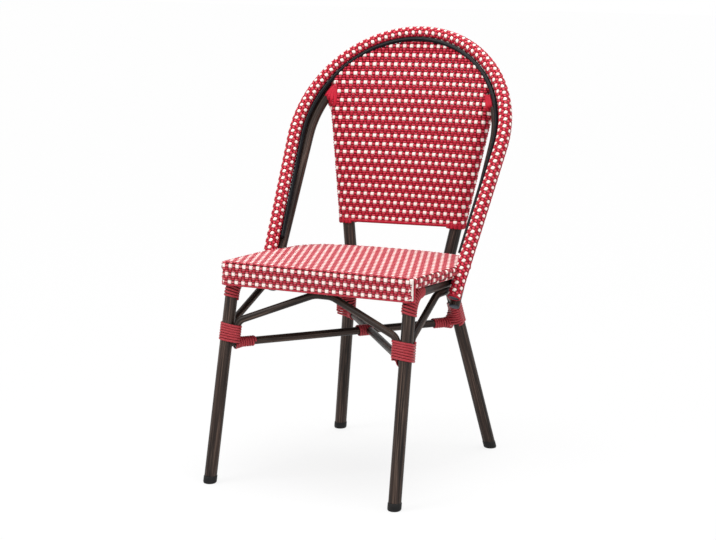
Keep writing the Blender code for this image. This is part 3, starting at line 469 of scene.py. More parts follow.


# Tones of a strand: its painted shade where it dips, its plain colour, and its painted highlight where it
# comes up
RED_TONES = (0.090, 0.001, 0.005, 1), (0.480, 0.004, 0.022, 1), (0.80, 0.12, 0.17, 1)
# The seat's red is the same plastic: a darker plain tone and a pinker painted highlight, standing in for the
# sheen on its top
SEAT_SHEEN_RED_TONES = (0.080, 0.001, 0.005, 1), (0.400, 0.008, 0.024, 1), (0.80, 0.27, 0.30, 1)
# The crosswise red is the same plastic as the lengthwise red, given darker tones as painted shade
SHADED_RED_TONES = (0.070, 0.001, 0.004, 1), (0.350, 0.002, 0.014, 1), (0.58, 0.04, 0.07, 1)
CREAM_TONES = (0.40, 0.22, 0.18, 1), (0.96, 0.79, 0.73, 1), (0.97, 0.89, 0.86, 1)
CORD_TONES = (0.055, 0.002, 0.004, 1), (0.275, 0.008, 0.015, 1), (0.48, 0.066, 0.080, 1)


def woven_finishes(place, red_tones, steady):
    """The finishes of a weave's red lengthwise, red crosswise and cream crosswise strands."""
    # The third number of each kind scales its painted highlight: strong on the lengthwise red, weak on the
    # crosswise red, which also takes the shaded tones
    kinds = (("red_lengthwise", red_tones, 0.75), ("red_crosswise", SHADED_RED_TONES, 0.30),
             ("cream", CREAM_TONES, 0.5))
    return [strand_finish(f"{place}_{kind}_strand", tones, highlight_strength, steady) for kind, tones, highlight_strength in kinds]


WOOD_GRAIN = wood_grain_finish()
BACK_FINISHES = woven_finishes("back", RED_TONES, {"Specular IOR Level": 0.12})
SEAT_FINISHES = woven_finishes(
    "seat", SEAT_SHEEN_RED_TONES, {"Specular IOR Level": 0.20, "Sheen Weight": 0.18, "Sheen Roughness": 0.35})
# The bound cords take painted shade along their edges, between the turns, and a painted highlight along their
# middle
BOUND_CORD = strand_finish("bound_cord", CORD_TONES, 0.5, {"Specular IOR Level": 0.2})
GLOSS_PIPING = piping_finish()
FOOT_PLASTIC = moulded_plastic_finish("foot_plastic", (0.004, 0.004, 0.004, 1), (0.011, 0.010, 0.010, 1))
PLUG_PLASTIC = moulded_plastic_finish("plug_plastic", (0.020, 0.023, 0.032, 1), (0.055, 0.062, 0.082, 1))
BARE_METAL = bare_metal_finish()


# Making pieces

TUBE_SIDES = 24
TUBE_STEP = math.radians(5.0)
ARCH_SPIN_STEPS = 72
SMOOTH_ANGLE = math.radians(40)
GRAIN_SPACING = 0.004
GRAIN_SHIFT = 0.37


def deselect():
    if bpy.context.object and bpy.context.object.mode != "OBJECT":
        bpy.ops.object.mode_set(mode="OBJECT")
    bpy.ops.object.select_all(action="DESELECT")


def begin_edit():
    bpy.ops.object.mode_set(mode="EDIT")
    bpy.ops.mesh.select_all(action="SELECT")


def end_edit():
    """Turns every face outwards and leaves edit mode."""
    bpy.ops.mesh.select_all(action="SELECT")
    bpy.ops.mesh.normals_make_consistent(inside=False)
    bpy.ops.object.mode_set(mode="OBJECT")


def keep(piece, name, material, node):
    """Names a finished piece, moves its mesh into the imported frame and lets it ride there."""
    piece.name = name
    piece.data.name = name
    piece.data.transform(Matrix.Translation((0, DEPTH_SHIFT, 0)))
    piece.data.materials.clear()
    piece.data.materials.append(material)
    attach(piece, "root")
    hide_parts(node)


def draw_out(way):
    if way.length > 1e-6:
        bpy.ops.mesh.extrude_region_move(TRANSFORM_OT_translate={"value": way})


def begin_circle(point, heading, radius, sides, fill="NOTHING"):
    deselect()
    turn = heading.to_track_quat("Z", "Y").to_euler()
    bpy.ops.mesh.primitive_circle_add(
        vertices=sides, radius=radius, fill_type=fill, location=point, rotation=turn)
    bpy.ops.object.transform_apply(location=True, rotation=True, scale=True)
    begin_edit()
    return bpy.context.object


def close_tube():
    bpy.ops.mesh.select_all(action="SELECT")
    bpy.ops.mesh.fill_holes(sides=TUBE_SIDES)
    end_edit()
    bpy.ops.object.shade_smooth_by_angle(angle=SMOOTH_ANGLE)


def bent_tube(corners, radii, radius):
    """A tube drawn out along its straight runs and spun round its bends."""
    tube = begin_circle(corners[0], (corners[1] - corners[0]).normalized(), radius, TUBE_SIDES)
    place = corners[0]
    for before, corner, after, bend in zip(corners, corners[1:], corners[2:], radii):
        start, end, centre, axis, turn = bend_arc(before, corner, after, bend)
        draw_out(start - place)
        bpy.ops.mesh.spin(steps=math.ceil(turn / TUBE_STEP), angle=-turn, center=centre, axis=axis)
        place = end
    draw_out(corners[-1] - place)
    close_tube()
    return tube


def bare_hoop_tube():
    """The hoop tube: drawn up one side, spun over the top and drawn down the other."""
    path = bare_hoop_path()
    foot, knee, far_knee, far_foot = [path[i] for i in (0, ARCH_LEG_STEPS, -ARCH_LEG_STEPS - 1, -1)]
    centre, crown = [hoop_point(0, s, tube_back(s)) for s in (HOOP_CENTRE_S, HOOP_CENTRE_S + TUBE_ARCH_R)]
    axis = (knee - centre).cross(crown - centre).normalized()
    tube = begin_circle(foot, (knee - foot).normalized(), HOOP_TUBE_R, TUBE_SIDES)
    draw_out(knee - foot)
    bpy.ops.mesh.spin(steps=ARCH_SPIN_STEPS, angle=-(math.pi + 2 * TUBE_SPLAY), center=centre, axis=axis)
    draw_out(far_foot - far_knee)
    close_tube()
    return tube


def unit(rows):
    return rows / np.maximum(np.linalg.norm(rows, axis=1), 1e-12)[:, None]


def headings(line):
    return unit(np.gradient(line, axis=0))


def distance_along(line):
    return np.concatenate(([0.0], np.cumsum(np.linalg.norm(np.diff(line, axis=0), axis=1))))


def follow(places, marks, rows):
    """Rows read off at some places between the marks that they belong to."""
    return np.stack([np.interp(places, marks, column) for column in rows.T], axis=-1)


def square_to(ways, rows):
    """Directions of the rows, turned square to the ways."""
    return unit(rows - ways * (rows * ways).sum(1)[:, None])


def eased(share):
    return share * share * (3 - 2 * share)


def even_line(points, spacing):
    """The same line with points at even spacing, and the distance along it."""
    line = np.array([tuple(point) for point in points])
    along = distance_along(line)
    marks = np.linspace(0.0, along[-1], max(2, int(round(along[-1] / spacing)) + 1))
    return follow(marks, along, line), marks


def carried_frames(path):
    """Direction, side and up at each point of a path, carried along without twist."""
    ways = np.gradient(path, axis=0)
    ways /= np.linalg.norm(ways, axis=1)[:, None]
    side = np.cross(ways[0], (0.3, 0.9, 0.1) if abs(ways[0][2]) > 0.7 else (0.0, 0.0, 1.0))
    sides = []
    for way in ways:
        side = side - way * side.dot(way)
        side /= np.linalg.norm(side)
        sides.append(side)
    sides = np.array(sides)
    return ways, sides, np.cross(ways, sides)


def store(mesh, name, values):
    layer = mesh.attributes.new(name, "FLOAT_VECTOR", "POINT")
    layer.data.foreach_set("vector", np.asarray(values, np.float32).ravel())


def keep_tube(tube, points, name, node, seed):
    """Stores where each vertex lies across and along a tube, for its grain; seed makes no two alike."""
    line, marks = even_line(points, GRAIN_SPACING)
    ways, sides, ups = carried_frames(line)
    spots = np.zeros(len(tube.data.vertices) * 3, np.float32)
    tube.data.vertices.foreach_get("co", spots)
    spots = spots.reshape(-1, 3)
    nearest = np.array([np.argmin(((line - spot) ** 2).sum(1)) for spot in spots])
    away = spots - line[nearest]
    across, above, ahead = [(away * rows[nearest]).sum(1) for rows in (sides, ups, ways)]
    grain = np.stack([across, above, marks[nearest] + ahead], axis=1)
    store(tube.data, "grain", grain + GRAIN_SHIFT * seed)
    keep(tube, name, WOOD_GRAIN, node)


def cross_bar(x, y, z):
    """The ends of a level bar from the left side to the right."""
    return [Vector((side * x, y, z)) for _, side in SIDES]


def make_frame_tubes():
    tubes = []
    for name, side in SIDES:
        legs = front_leg_corners(side), rear_leg_corners(side), side_bow_corners(side)
        tubes += [
            ("front_leg_tube_" + name, "front_leg_" + name, legs[0], LEG_RADII, LEG_TUBE_R, 1 + side),
            ("rear_leg_tube_" + name, "rear_leg_" + name, legs[1], (WAIST_BEND_R,), LEG_TUBE_R, 4 + side),
            ("side_bow_tube_" + name, "side_bow_" + name, legs[2], BOW_RADII, BOW_TUBE_R, 7 + side)]
    front, rear = stretcher_ends(1)
    middle = crossing_point()
    front_rail = cross_bar(front_leg_point(1, FRONT_RAIL_Z).x, front_rail_y(), FRONT_RAIL_Z)
    rear_z = under_seat(0, WAIST[1] - SEAT_FRONT_Y, SEAT_THICKNESS + CROSS_RAIL_R).z
    rear_rail = cross_bar(upright_point(1, rear_z).x, WAIST[1], rear_z)
    rod_z = PANEL_BOTTOM_Z + BACK_ROD_RISE
    rod = cross_bar(upright_point(1, rod_z).x, panel_depth(0.0, rod_z) + BACK_ROD_DEPTH, rod_z)
    tubes += [
        ("front_bow_tube", "front_bow", front_bow_corners(-1), BOW_RADII, BOW_TUBE_R, 10),
        ("stretcher_bar", "stretcher_diagonal", stretcher_ends(-1), (), STRETCHER_TUBE_R, 11),
        ("stretcher_front_bar", "stretcher_front_half", (front, middle), (), STRETCHER_TUBE_R, 12),
        ("stretcher_rear_bar", "stretcher_rear_half", (rear, middle), (), STRETCHER_TUBE_R, 13),
        ("front_rail_bar", "seat_front_rail", front_rail, (), CROSS_RAIL_R, 14),
        ("rear_rail_bar", "seat_rear_rail", rear_rail, (), CROSS_RAIL_R, 15),
        ("back_rod_bar", "back_lower_rod", rod, (), BACK_ROD_R, 16)]
    for name, node, corners, radii, radius, seed in tubes:
        keep_tube(bent_tube(corners, radii, radius), bend_line(corners, radii), name, node, seed)
    keep_tube(bare_hoop_tube(), bare_hoop_path(), "hoop_bare_tube", "hoop_tube", 0)


# Strands

STRAND_SIDES = 8
STRAND_NUMBER_STEP = 0.37
SHORTEST_STRAND = 0.004
WIDTH_SPREAD = 0.03
COLUMN_FILL = 0.46
CROSSWISE_HOLD = 1.9
SURFACE_STEP = 0.0003
CUT_HALVINGS = 7
EDGE_NUMBER, APRON_NUMBER, RIM_NUMBER = 5.1, 2.2, 3.3
WOVEN_CLEARANCE = 0.0158
TUBE_CLEARANCE = 0.0125

# Of a flat weave: where three crosswise strands lie in each row, how far they swing, how thick they are
FLAT_PARTS = (0.0, 6.625 / 18, 11.375 / 18)
FLAT_SWING = 0.0014
FLAT_THICKNESS = 0.0025


def strand_section(half_width, half_thickness, sides=STRAND_SIDES):
    """Section of a strand: a circle flattened in edit mode, as (across, out) pairs."""
    deselect()
    bpy.ops.mesh.primitive_circle_add(vertices=sides, radius=1.0)
    begin_edit()
    bpy.ops.transform.rotate(value=math.pi / 2, orient_axis="Z", center_override=(0, 0, 0))
    bpy.ops.transform.resize(value=(half_width, half_thickness, 1.0))
    bpy.ops.object.mode_set(mode="OBJECT")
    circle = bpy.context.object
    section = np.array([(vertex.co.x, vertex.co.y) for vertex in circle.data.vertices])
    bpy.data.objects.remove(circle)
    return section


def laid(along, number, height=1.0):
    """Notes of a strand's points: across, along, the strand's number, and -1 to 1 for under to over."""
    return np.stack(np.broadcast_arrays(0.0, along, number, height), axis=1)


def strand_mesh(name, runs):
    """One mesh of many strands; a run is (points, across, out, lay, section, closed)."""
    spots, notes, faces, rises = [], [], [], []
    first = 0
    for points, across, out, lay, section, closed in runs:
        rings, sides = len(points), len(section)
        ring = points[:, None] + across[:, None] * section[None, :, :1] + out[:, None] * section[None, :, 1:]
        note = np.repeat(lay[:, None], sides, axis=1)
        note[:, :, 0] += section[None, :, 0]
        spots.append(ring.reshape(-1, 3))
        notes.append(note[:, :, :3].reshape(-1, 3))
        edge = np.abs(section[:, 0]) / np.abs(section[:, 0]).max()
        rises.append(np.stack(np.broadcast_arrays(note[:, :, 3], edge[None], 0.0), axis=2).reshape(-1, 3))
        step = np.arange(rings if closed else rings - 1)[:, None]
        turn = np.arange(sides)[None, :]
        low, low_after = [first + step * sides + corner for corner in (turn, (turn + 1) % sides)]
        shift = (step + 1) % rings * sides - step * sides
        faces += np.stack([low, low_after, low_after + shift, low + shift], axis=2).reshape(-1, 4).tolist()
        if not closed:
            faces.append((first + np.arange(sides))[::-1].tolist())
            faces.append((first + (rings - 1) * sides + np.arange(sides)).tolist())
        first += rings * sides
    mesh = bpy.data.meshes.new(name)
    mesh.from_pydata(np.concatenate(spots).tolist(), [], faces)
    store(mesh, "lay", np.concatenate(notes))
    # rise: how far over or under each point lies and how near the strand's edge; strand_finish paints shade
    # and highlight from it
    store(mesh, "rise", np.concatenate(rises))
    piece = bpy.data.objects.new(name, mesh)
    bpy.context.scene.collection.objects.link(piece)
    deselect()
    bpy.context.view_layer.objects.active = piece
    piece.select_set(True)
    begin_edit()
    end_edit()
    bpy.ops.object.shade_smooth()
    return piece


def keep_strands(name, runs, material, node):
    keep(strand_mesh(name, runs), name, material, node)


def laid_frames(form, u, v, lengthwise):
    """Points of a form with the directions across a strand and out of the surface."""
    to_u = form(u + SURFACE_STEP, v) - form(u - SURFACE_STEP, v)
    to_v = form(u, v + SURFACE_STEP) - form(u, v - SURFACE_STEP)
    out = unit(np.cross(to_u, to_v))
    along = unit(to_v if lengthwise else to_u)
    across = np.cross(along, out) if lengthwise else np.cross(out, along)
    return form(u, v), across, out


class Weave:
    """A plain weave: red strands lengthwise, and crosswise ones of which the first in each row is cream."""

    def __init__(self, form, inside, columns, rows, parts, widths, swing, thickness, seed, steps=3):
        self.form, self.inside = form, inside
        self.column_start, self.column = columns
        self.row_place, self.parts = rows, np.array(parts)
        self.widths, self.swing, self.thickness = widths, swing, thickness
        self.random = np.random.default_rng(seed)
        self.steps = steps

    def crossing(self, index):
        """Where a crosswise strand lies: some of them share each row."""
        row, part = index // len(self.parts), self.parts[index % len(self.parts)]
        low = self.row_place(row)
        return low + (self.row_place(row + 1) - low) * part

    def runs(self, places, marks, lift, section, lengthwise):
        """Cuts each strand where it leaves the form, and lays what is left."""
        result = []
        for number, place in places:
            def flat(t):
                spread = np.full(len(t), place)
                return (spread, t) if lengthwise else (t, spread)
            for low, high in stretches(self.inside(*flat(marks))):
                line = list(marks[low:high + 1])
                if low > 0:
                    line.insert(0, self.edge(flat, marks[low], marks[low - 1]))
                if high + 1 < len(marks):
                    line.append(self.edge(flat, marks[high], marks[high + 1]))
                line = np.array(line)
                if line[-1] - line[0] < SHORTEST_STRAND:
                    continue
                points, across, out = laid_frames(self.form, *flat(line), lengthwise)
                height = lift(number, line)
                lay = laid(line, number * STRAND_NUMBER_STEP, height / self.swing)
                width = 1.0 + self.random.uniform(-WIDTH_SPREAD, WIDTH_SPREAD)
                result.append((points + out * height[:, None], across * width, out, lay, section, False))
        return result

    def edge(self, flat, inner, outer):
        """The last place of a strand that is still on the form."""
        for _ in range(CUT_HALVINGS):
            middle = (inner + outer) / 2
            if self.inside(*flat(np.array([middle])))[0]:
                inner = middle
            else:
                outer = middle
        return inner

    def lengthwise(self, columns, rows):
        index = np.arange(rows[0], rows[1] + 1)
        crossings = self.crossing(index)
        marks = np.interp(np.arange(2 * rows[0], 2 * rows[1] + 1) / 2, index, crossings)

        def lift(number, t):
            return -self.swing * np.cos(math.pi * (np.interp(t, crossings, index) + number))
        section = strand_section(self.column * COLUMN_FILL, self.thickness / 2)
        places = [(i, self.column_start + i * self.column) for i in range(columns[0], columns[1] + 1)]
        return self.runs(places, marks, lift, section, True)

    def crosswise(self, columns, rows, cream):
        first, last = columns[0] * self.steps, columns[1] * self.steps
        marks = self.column_start + np.arange(first, last + 1) / self.steps * self.column

        def lift(number, t):
            turn = math.pi * ((t - self.column_start) / self.column + number)
            return self.swing * np.tanh(CROSSWISE_HOLD * np.cos(turn))
        section = strand_section(self.widths[0 if cream else 1] / 2, self.thickness / 2)
        places = [(j, self.crossing(np.array([j]))[0]) for j in rows if (j % len(self.parts) == 0) == cream]
        return self.runs(places, marks, lift, section, False)


def lay_weave(weave, columns, rows, wefts, names, node, finishes):
    """Lays a weave's red lengthwise, red crosswise and cream crosswise strands."""
    runs = weave.lengthwise(columns, rows), weave.crosswise(*wefts, False), weave.crosswise(*wefts, True)
    for name, strands, material in zip(names, runs, finishes):
        keep_strands(name, strands, material, node)


def stretches(within):
    """First and last index of each run of True."""
    change = np.diff(np.concatenate(([False], within, [False])).astype(int))
    return zip(np.flatnonzero(change == 1), np.flatnonzero(change == -1) - 1)


def edge_roll(form, u, v, section, lengthwise, lift=0.0):
    """A strand that lies along an edge of a weave and closes it."""
    points, _, out = laid_frames(form, u, v, lengthwise)
    lift = np.broadcast_to(lift, len(u))
    across = unit(np.cross(out, headings(points)))
    lay = laid(distance_along(points), EDGE_NUMBER)
    return points + out * lift[:, None], across, out, lay, strand_section(*section), False


HOOP_FOOT = np.array(hoop_point(0, 0, 0))
HOOP_UPWARD = np.array(hoop_point(0, 1, 0)) - HOOP_FOOT
HOOP_BACKWARD = np.array(hoop_point(0, 0, 1)) - HOOP_FOOT


def arch_distance(spots, radius, splay, back):
    """Distance from points to the centre line of one of the hoop's two arches."""
    s = (spots - HOOP_FOOT) @ HOOP_UPWARD
    behind = (spots - HOOP_FOOT) @ HOOP_BACKWARD
    x, rise = np.abs(spots[:, 0]), s - HOOP_CENTRE_S
    cos, sin = math.cos(splay), math.sin(splay)
    over = np.abs(np.hypot(x, rise) - radius)
    beside = np.abs((x - radius * cos) * cos - (rise + radius * sin) * sin)
    return np.hypot(np.where(np.arctan2(rise, x) < -splay, beside, over), behind - back(s))


def clear_of_hoop(spots):
    """Whether points lie outside both the woven hoop and the bare tube."""
    woven = arch_distance(spots, WOVEN_ARCH_R, WOVEN_SPLAY, lambda s: 0.0)
    bare = arch_distance(spots, TUBE_ARCH_R, TUBE_SPLAY, tube_back)
    return (woven > WOVEN_CLEARANCE) & (bare > TUBE_CLEARANCE)


# Back panel

PANEL_WRAP = 0.060
PANEL_TOP_WRAP = 0.030
PANEL_WRAP_R = 0.0172
PANEL_FRONT = 0.0154
PANEL_BACK = 0.0190
PANEL_SIDE = 0.0185
PANEL_EAR = 0.0100
PANEL_EAR_LOW_Z = 0.716
PANEL_EAR_HIGH_Z = 0.748
PANEL_EDGE_TURN = 0.020
PANEL_FLAP_START = 0.006
PANEL_ARCH_HALF = 0.2262
PANEL_ARCH_Z = 0.6865
PANEL_ARCH_RISE = 0.1890
PANEL_ARCH_START_Z = 0.70


def panel_depth(x, z):
    edge_x, edge_y = upright_x(z), upright_y(z)
    centre_y = upright_y(PANEL_BOTTOM_Z) + PANEL_CENTRE_LEAN * (z - PANEL_BOTTOM_Z)
    return centre_y + (edge_y - centre_y) * (x / edge_x) ** 2 - PANEL_FRONT


def panel_side(z):
    """How far the weave stands out beside an upright: more at the ears, where the hoop's tube is close."""
    share = np.clip((z - PANEL_EAR_LOW_Z) / (PANEL_EAR_HIGH_Z - PANEL_EAR_LOW_Z), 0.0, 1.0)
    return PANEL_SIDE + PANEL_EAR * eased(share)


def panel_form(u, z):
    """Flat sheet between the uprights, wrapped round each of them at its sides."""
    edge_x, edge_y = upright_x(z), upright_y(z)
    beyond = np.maximum(np.abs(u) - edge_x, 0.0)
    angle = beyond / PANEL_WRAP_R
    depth = PANEL_FRONT + (PANEL_BACK - PANEL_FRONT) * np.clip(angle / math.pi, 0.0, 1.0)
    wrapped_x = np.sign(u) * (edge_x + panel_side(z) * np.sin(angle))
    wrapped_y = edge_y - depth * np.cos(angle)
    x = np.where(beyond > 0, wrapped_x, u)
    y = np.where(beyond > 0, wrapped_y, panel_depth(u, z))
    return np.stack([x, y, z], axis=1)


def panel_low(beyond):
    """The panel's lower edge: it drops a little where the weave goes round an upright."""
    return np.where(beyond > PANEL_FLAP_START, PANEL_BOTTOM_Z - PANEL_FLAP_DROP, PANEL_BOTTOM_Z)


def panel_inside(u, z):
    beyond = np.abs(u) - upright_x(z)
    low = panel_low(beyond) + PANEL_EDGE_TURN * u
    reach = np.where(z < PANEL_FLAP_TOP_Z, PANEL_WRAP, PANEL_TOP_WRAP)
    arch = (u / PANEL_ARCH_HALF) ** 2 + ((z - PANEL_ARCH_Z) / PANEL_ARCH_RISE) ** 2
    within = (z > low) & (beyond < reach) & ((arch < 1.0) | (z < PANEL_ARCH_START_Z))
    return within & clear_of_hoop(panel_form(u, z))


# The panel's weave is laid a little turned against the frame
PANEL_COLUMN_TURN = 0.012
PANEL_ROW_TURN = 0.015
PANEL_MIDDLE_Z = 0.62
PANEL_COLUMNS = (-0.00640, 0.00807)
PANEL_WIDTHS = (0.0081, 0.0049)
PANEL_ROW = 0.01773
PANEL_ROW_START = 0.046
PANEL_ROW_GROWTH = 0.0000836
PANEL_SEED = 11
PANEL_EDGE_HALF = 0.190
PANEL_EDGE_POINTS = 200
PANEL_SIDE_POINTS = 80

# Half width and half thickness of the panel's edge strands
LOWER_EDGE = (0.0034, 0.0026)
SIDE_EDGE = (0.0034, 0.0022)
CORNER_STRAND = (0.0042, 0.0014)
EAR_STRAND = (0.0043, 0.0016)


def turned(u, v):
    return u - PANEL_COLUMN_TURN * (v - PANEL_MIDDLE_Z), v + PANEL_ROW_TURN * u


def panel_rows(row):
    """The rows lie a little wider apart towards the top."""
    place = row + PANEL_ROW_START
    return PANEL_MIDDLE_Z + PANEL_ROW * place + PANEL_ROW_GROWTH * place ** 2


def make_back():
    weave = Weave(
        lambda u, v: panel_form(*turned(u, v)), lambda u, v: panel_inside(*turned(u, v)),
        PANEL_COLUMNS, panel_rows, FLAT_PARTS, PANEL_WIDTHS, FLAT_SWING, FLAT_THICKNESS, PANEL_SEED)
    names = ("back_upright_strands", "back_red_strands", "back_cream_strands")
    columns = (-33, 34)
    lay_weave(weave, columns, (-26, 48), (columns, range(-24, 46)), names, "back_weave_panel", BACK_FINISHES)
    across = np.linspace(-PANEL_EDGE_HALF, PANEL_EDGE_HALF, PANEL_EDGE_POINTS)
    level = np.pad(panel_low(np.abs(across) - upright_x(PANEL_BOTTOM_Z)), 3, mode="edge")
    level = np.convolve(level, np.ones(7) / 7, mode="valid") + PANEL_EDGE_TURN * across
    edges, ears = [edge_roll(panel_form, across, level, LOWER_EDGE, False)], []
    for _, side in SIDES:
        z = np.linspace(PANEL_BOTTOM_Z - PANEL_FLAP_DROP, PANEL_FLAP_TOP_Z, PANEL_SIDE_POINTS)
        edges.append(edge_roll(panel_form, side * (upright_x(z) + PANEL_WRAP), z, SIDE_EDGE, True))
        edges += corner_strands(side)
        ears += ear_strands(side)
    keep_strands("back_edge_strands", edges, BACK_FINISHES[1], "back_weave_panel")
    keep_strands("back_ear_strands", ears, BACK_FINISHES[0], "back_weave_panel")


CORNER_PLACES = (-0.0115, -0.0035, 0.0045, 0.0125, 0.0205, 0.0285, 0.0365)
CORNER_DROP = 0.0065
CORNER_LENGTHS = (0.0135, 0.0147)
CORNER_POINTS = 10
CORNER_LIFT = 0.0030
CORNER_TUCK = 0.0012


def corner_strands(side):
    """Short upright strands that bind a lower corner of the panel round its upright."""
    strands = []
    low = PANEL_BOTTOM_Z - CORNER_DROP + PANEL_EDGE_TURN * side * upright_x(PANEL_BOTTOM_Z)
    lift = CORNER_LIFT * (1.0 - np.linspace(0.0, 1.0, CORNER_POINTS) ** 4) - CORNER_TUCK
    for number, place in enumerate(CORNER_PLACES):
        z = np.linspace(low, low + CORNER_LENGTHS[number % 2], CORNER_POINTS)
        strands.append(edge_roll(panel_form, side * (upright_x(z) + place), z, CORNER_STRAND, True, lift))
    return strands


# The ears differ on the two sides: heights of their lower edge from inside to outside, and of their top
EAR_LOW_Z = {-1: (0.731, 0.748), 1: (0.735, 0.741)}
EAR_HIGH_Z = {-1: 0.786, 1: 0.771}
EAR_SHARES = {-1: (0.16, 0.40, 0.64, 0.88), 1: (0.52, 0.70, 0.88)}
EAR_INSET = 0.004
EAR_LIFT = 0.0015
EAR_TUBE_GAP = 0.0024
EAR_START = 0.018
EAR_RISE = 0.012
EAR_POINTS = 24
# The ear strands' rise note, half way up: it sets how much painted highlight and painted shade they take
EAR_HEIGHT = 0.5


def bare_tube_at(z):
    """Where the bare hoop tube passes a height on the right: x and y of its centre."""
    slope = (TUBE_BACK_TOP - TUBE_BACK_LOW) / (WOVEN_TOP_S - WOVEN_END_S)
    lean_sin, lean_cos = math.sin(HOOP_LEAN), math.cos(HOOP_LEAN)
    s = (z - SEAT_HEIGHT + tube_back(0.0) * lean_sin) / (lean_cos - slope * lean_sin)
    x = np.sqrt(TUBE_ARCH_R ** 2 - (s - HOOP_CENTRE_S) ** 2)
    return x, HOOP_Y + s * lean_sin + tube_back(s) * lean_cos


def ear_strands(side):
    """Upright strands that bind the panel's edge over the front of the hoop's tube."""
    strands = []
    low, high = EAR_LOW_Z[side]
    for share in EAR_SHARES[side]:
        z = np.linspace(low + (high - low) * share, EAR_HIGH_Z[side], EAR_POINTS)
        inner_x = upright_x(z) - EAR_INSET
        inner = np.stack([side * inner_x, panel_depth(inner_x, z) - EAR_LIFT, z], axis=1)
        tube_x, tube_y = bare_tube_at(z)
        outer = np.stack([side * tube_x, tube_y - HOOP_TUBE_R - EAR_TUBE_GAP, z], axis=1)
        rise = np.clip((z - z[0]) / EAR_RISE, 0.0, 1.0)[:, None]
        start = panel_form(side * (upright_x(z) + EAR_START * share), z)
        points = start + (inner + (outer - inner) * share - start) * eased(rise)
        way = headings(points)
        across = square_to(way, outer - inner)
        out = np.cross(way, across) * side
        strands.append((points, across, out, laid(z, share, EAR_HEIGHT), strand_section(*EAR_STRAND), False))
    return strands


# Seat

SEAT_SKIN = 0.0022
SEAT_BEND = 0.005
SEAT_SLOPE = math.atan(SEAT_FALL)
SIDE_DROP = SEAT_THICKNESS - 2 * SEAT_BEND - SEAT_SKIN
QUARTER = SEAT_BEND * math.pi / 2
APRON_EDGE = 0.002
SIDE_TUCK = 0.005
SEAT_PLAN_STEP = math.radians(3.0)
FRONT_LENGTH = QUARTER + APRON_HEIGHT - SEAT_SKIN - SEAT_BEND - APRON_EDGE
SIDE_LENGTH = QUARTER + SIDE_DROP + QUARTER + SIDE_TUCK

# How far the way from the rim has to point forward to fold as the apron does, to be
# the apron itself, and to be a front corner, where no strand is laid
FOLD_WAY, FRONT_WAY, CORNER_WAY = -0.7, -0.95, -0.12


def seat_plan(inset):
    """Closed plan of the seat as (x, v) pairs, moved inwards by inset."""
    half = [Vector((x, v, 0)) for x, v in ((SEAT_FRONT_HALF, 0.0), SEAT_MIDDLE, SEAT_REAR, (0.0, SEAT_DEPTH))]
    mirrored = [Vector((-corner.x, corner.y, 0)) for corner in reversed(half[:3])]
    middle = Vector((0, 0, 0))
    radii = SEAT_RADII + SEAT_RADII[2::-1]
    line = bend_line([middle] + half + mirrored + [middle], radii, SEAT_PLAN_STEP)[:-1]
    plan = np.array([(point.x, point.y) for point in line])
    way = np.roll(plan, -1, axis=0) - np.roll(plan, 1, axis=0)
    way /= np.linalg.norm(way, axis=1)[:, None]
    return plan + np.stack([-way[:, 1], way[:, 0]], axis=1) * inset


SEAT_INNER = seat_plan(SEAT_SKIN + SEAT_BEND)
SEAT_WAYS = np.roll(SEAT_INNER, -1, axis=0) - SEAT_INNER


def nearest_on_plan(u, v):
    """Whether points lie on the seat's flat top, the way to them from its rim, and how far that is."""
    spot = np.stack([u, v], axis=1)[:, None]
    share = ((spot - SEAT_INNER) * SEAT_WAYS).sum(2) / (SEAT_WAYS ** 2).sum(1)
    places = SEAT_INNER + np.clip(share, 0.0, 1.0)[:, :, None] * SEAT_WAYS
    gaps = ((spot - places) ** 2).sum(2)
    number, closest = np.arange(len(u)), np.argmin(gaps, axis=1)
    near, gap = places[number, closest], np.sqrt(gaps[number, closest])
    way = (spot[:, 0] - near) / np.maximum(gap, 1e-9)[:, None]
    off = spot - SEAT_INNER
    on_top = (SEAT_WAYS[:, 0] * off[:, :, 1] > SEAT_WAYS[:, 1] * off[:, :, 0]).all(1)
    return on_top, near, way, gap


def seat_fold(t, front):
    """How far out and down a strand lies after a length t past the flat top."""
    angle = np.clip(t / SEAT_BEND, 0.0, math.pi / 2)
    out = SEAT_BEND * np.sin(angle)
    down = SEAT_BEND * (1 - np.cos(angle)) + np.maximum(t - QUARTER, 0.0)
    under = np.where(front, 0.0, np.maximum(t - QUARTER - SIDE_DROP, 0.0))
    turn = np.clip(under / SEAT_BEND, 0.0, math.pi / 2)
    down = down - under + SEAT_BEND * np.sin(turn)
    out = out - SEAT_BEND * (1 - np.cos(turn)) - np.maximum(under - QUARTER, 0.0)
    return out, down


def seat_place(x, v, height):
    y = SEAT_FRONT_Y + v * math.cos(SEAT_SLOPE) + height * math.sin(SEAT_SLOPE)
    z = SEAT_HEIGHT - v * math.sin(SEAT_SLOPE) + height * math.cos(SEAT_SLOPE)
    return np.stack([x, y, z], axis=1)


def seat_form(u, v):
    """Flat top, folded down at the front and round under the sides and the rear."""
    on_top, near, way, gap = nearest_on_plan(u, v)
    out, down = seat_fold(gap, way[:, 1] < FOLD_WAY)
    x = np.where(on_top, u, near[:, 0] + way[:, 0] * out)
    plan_v = np.where(on_top, v, near[:, 1] + way[:, 1] * out)
    return seat_place(x, plan_v, np.where(on_top, 0.0, -down) - SEAT_SKIN)


def seat_inside(u, v):
    on_top, _, way, gap = nearest_on_plan(u, v)
    front = way[:, 1] < FRONT_WAY
    corner = (way[:, 1] < CORNER_WAY) & ~front
    within = on_top | (front & (gap < FRONT_LENGTH)) | (~front & ~corner & (gap < SIDE_LENGTH))
    return within & clear_of_hoop(seat_form(u, v))


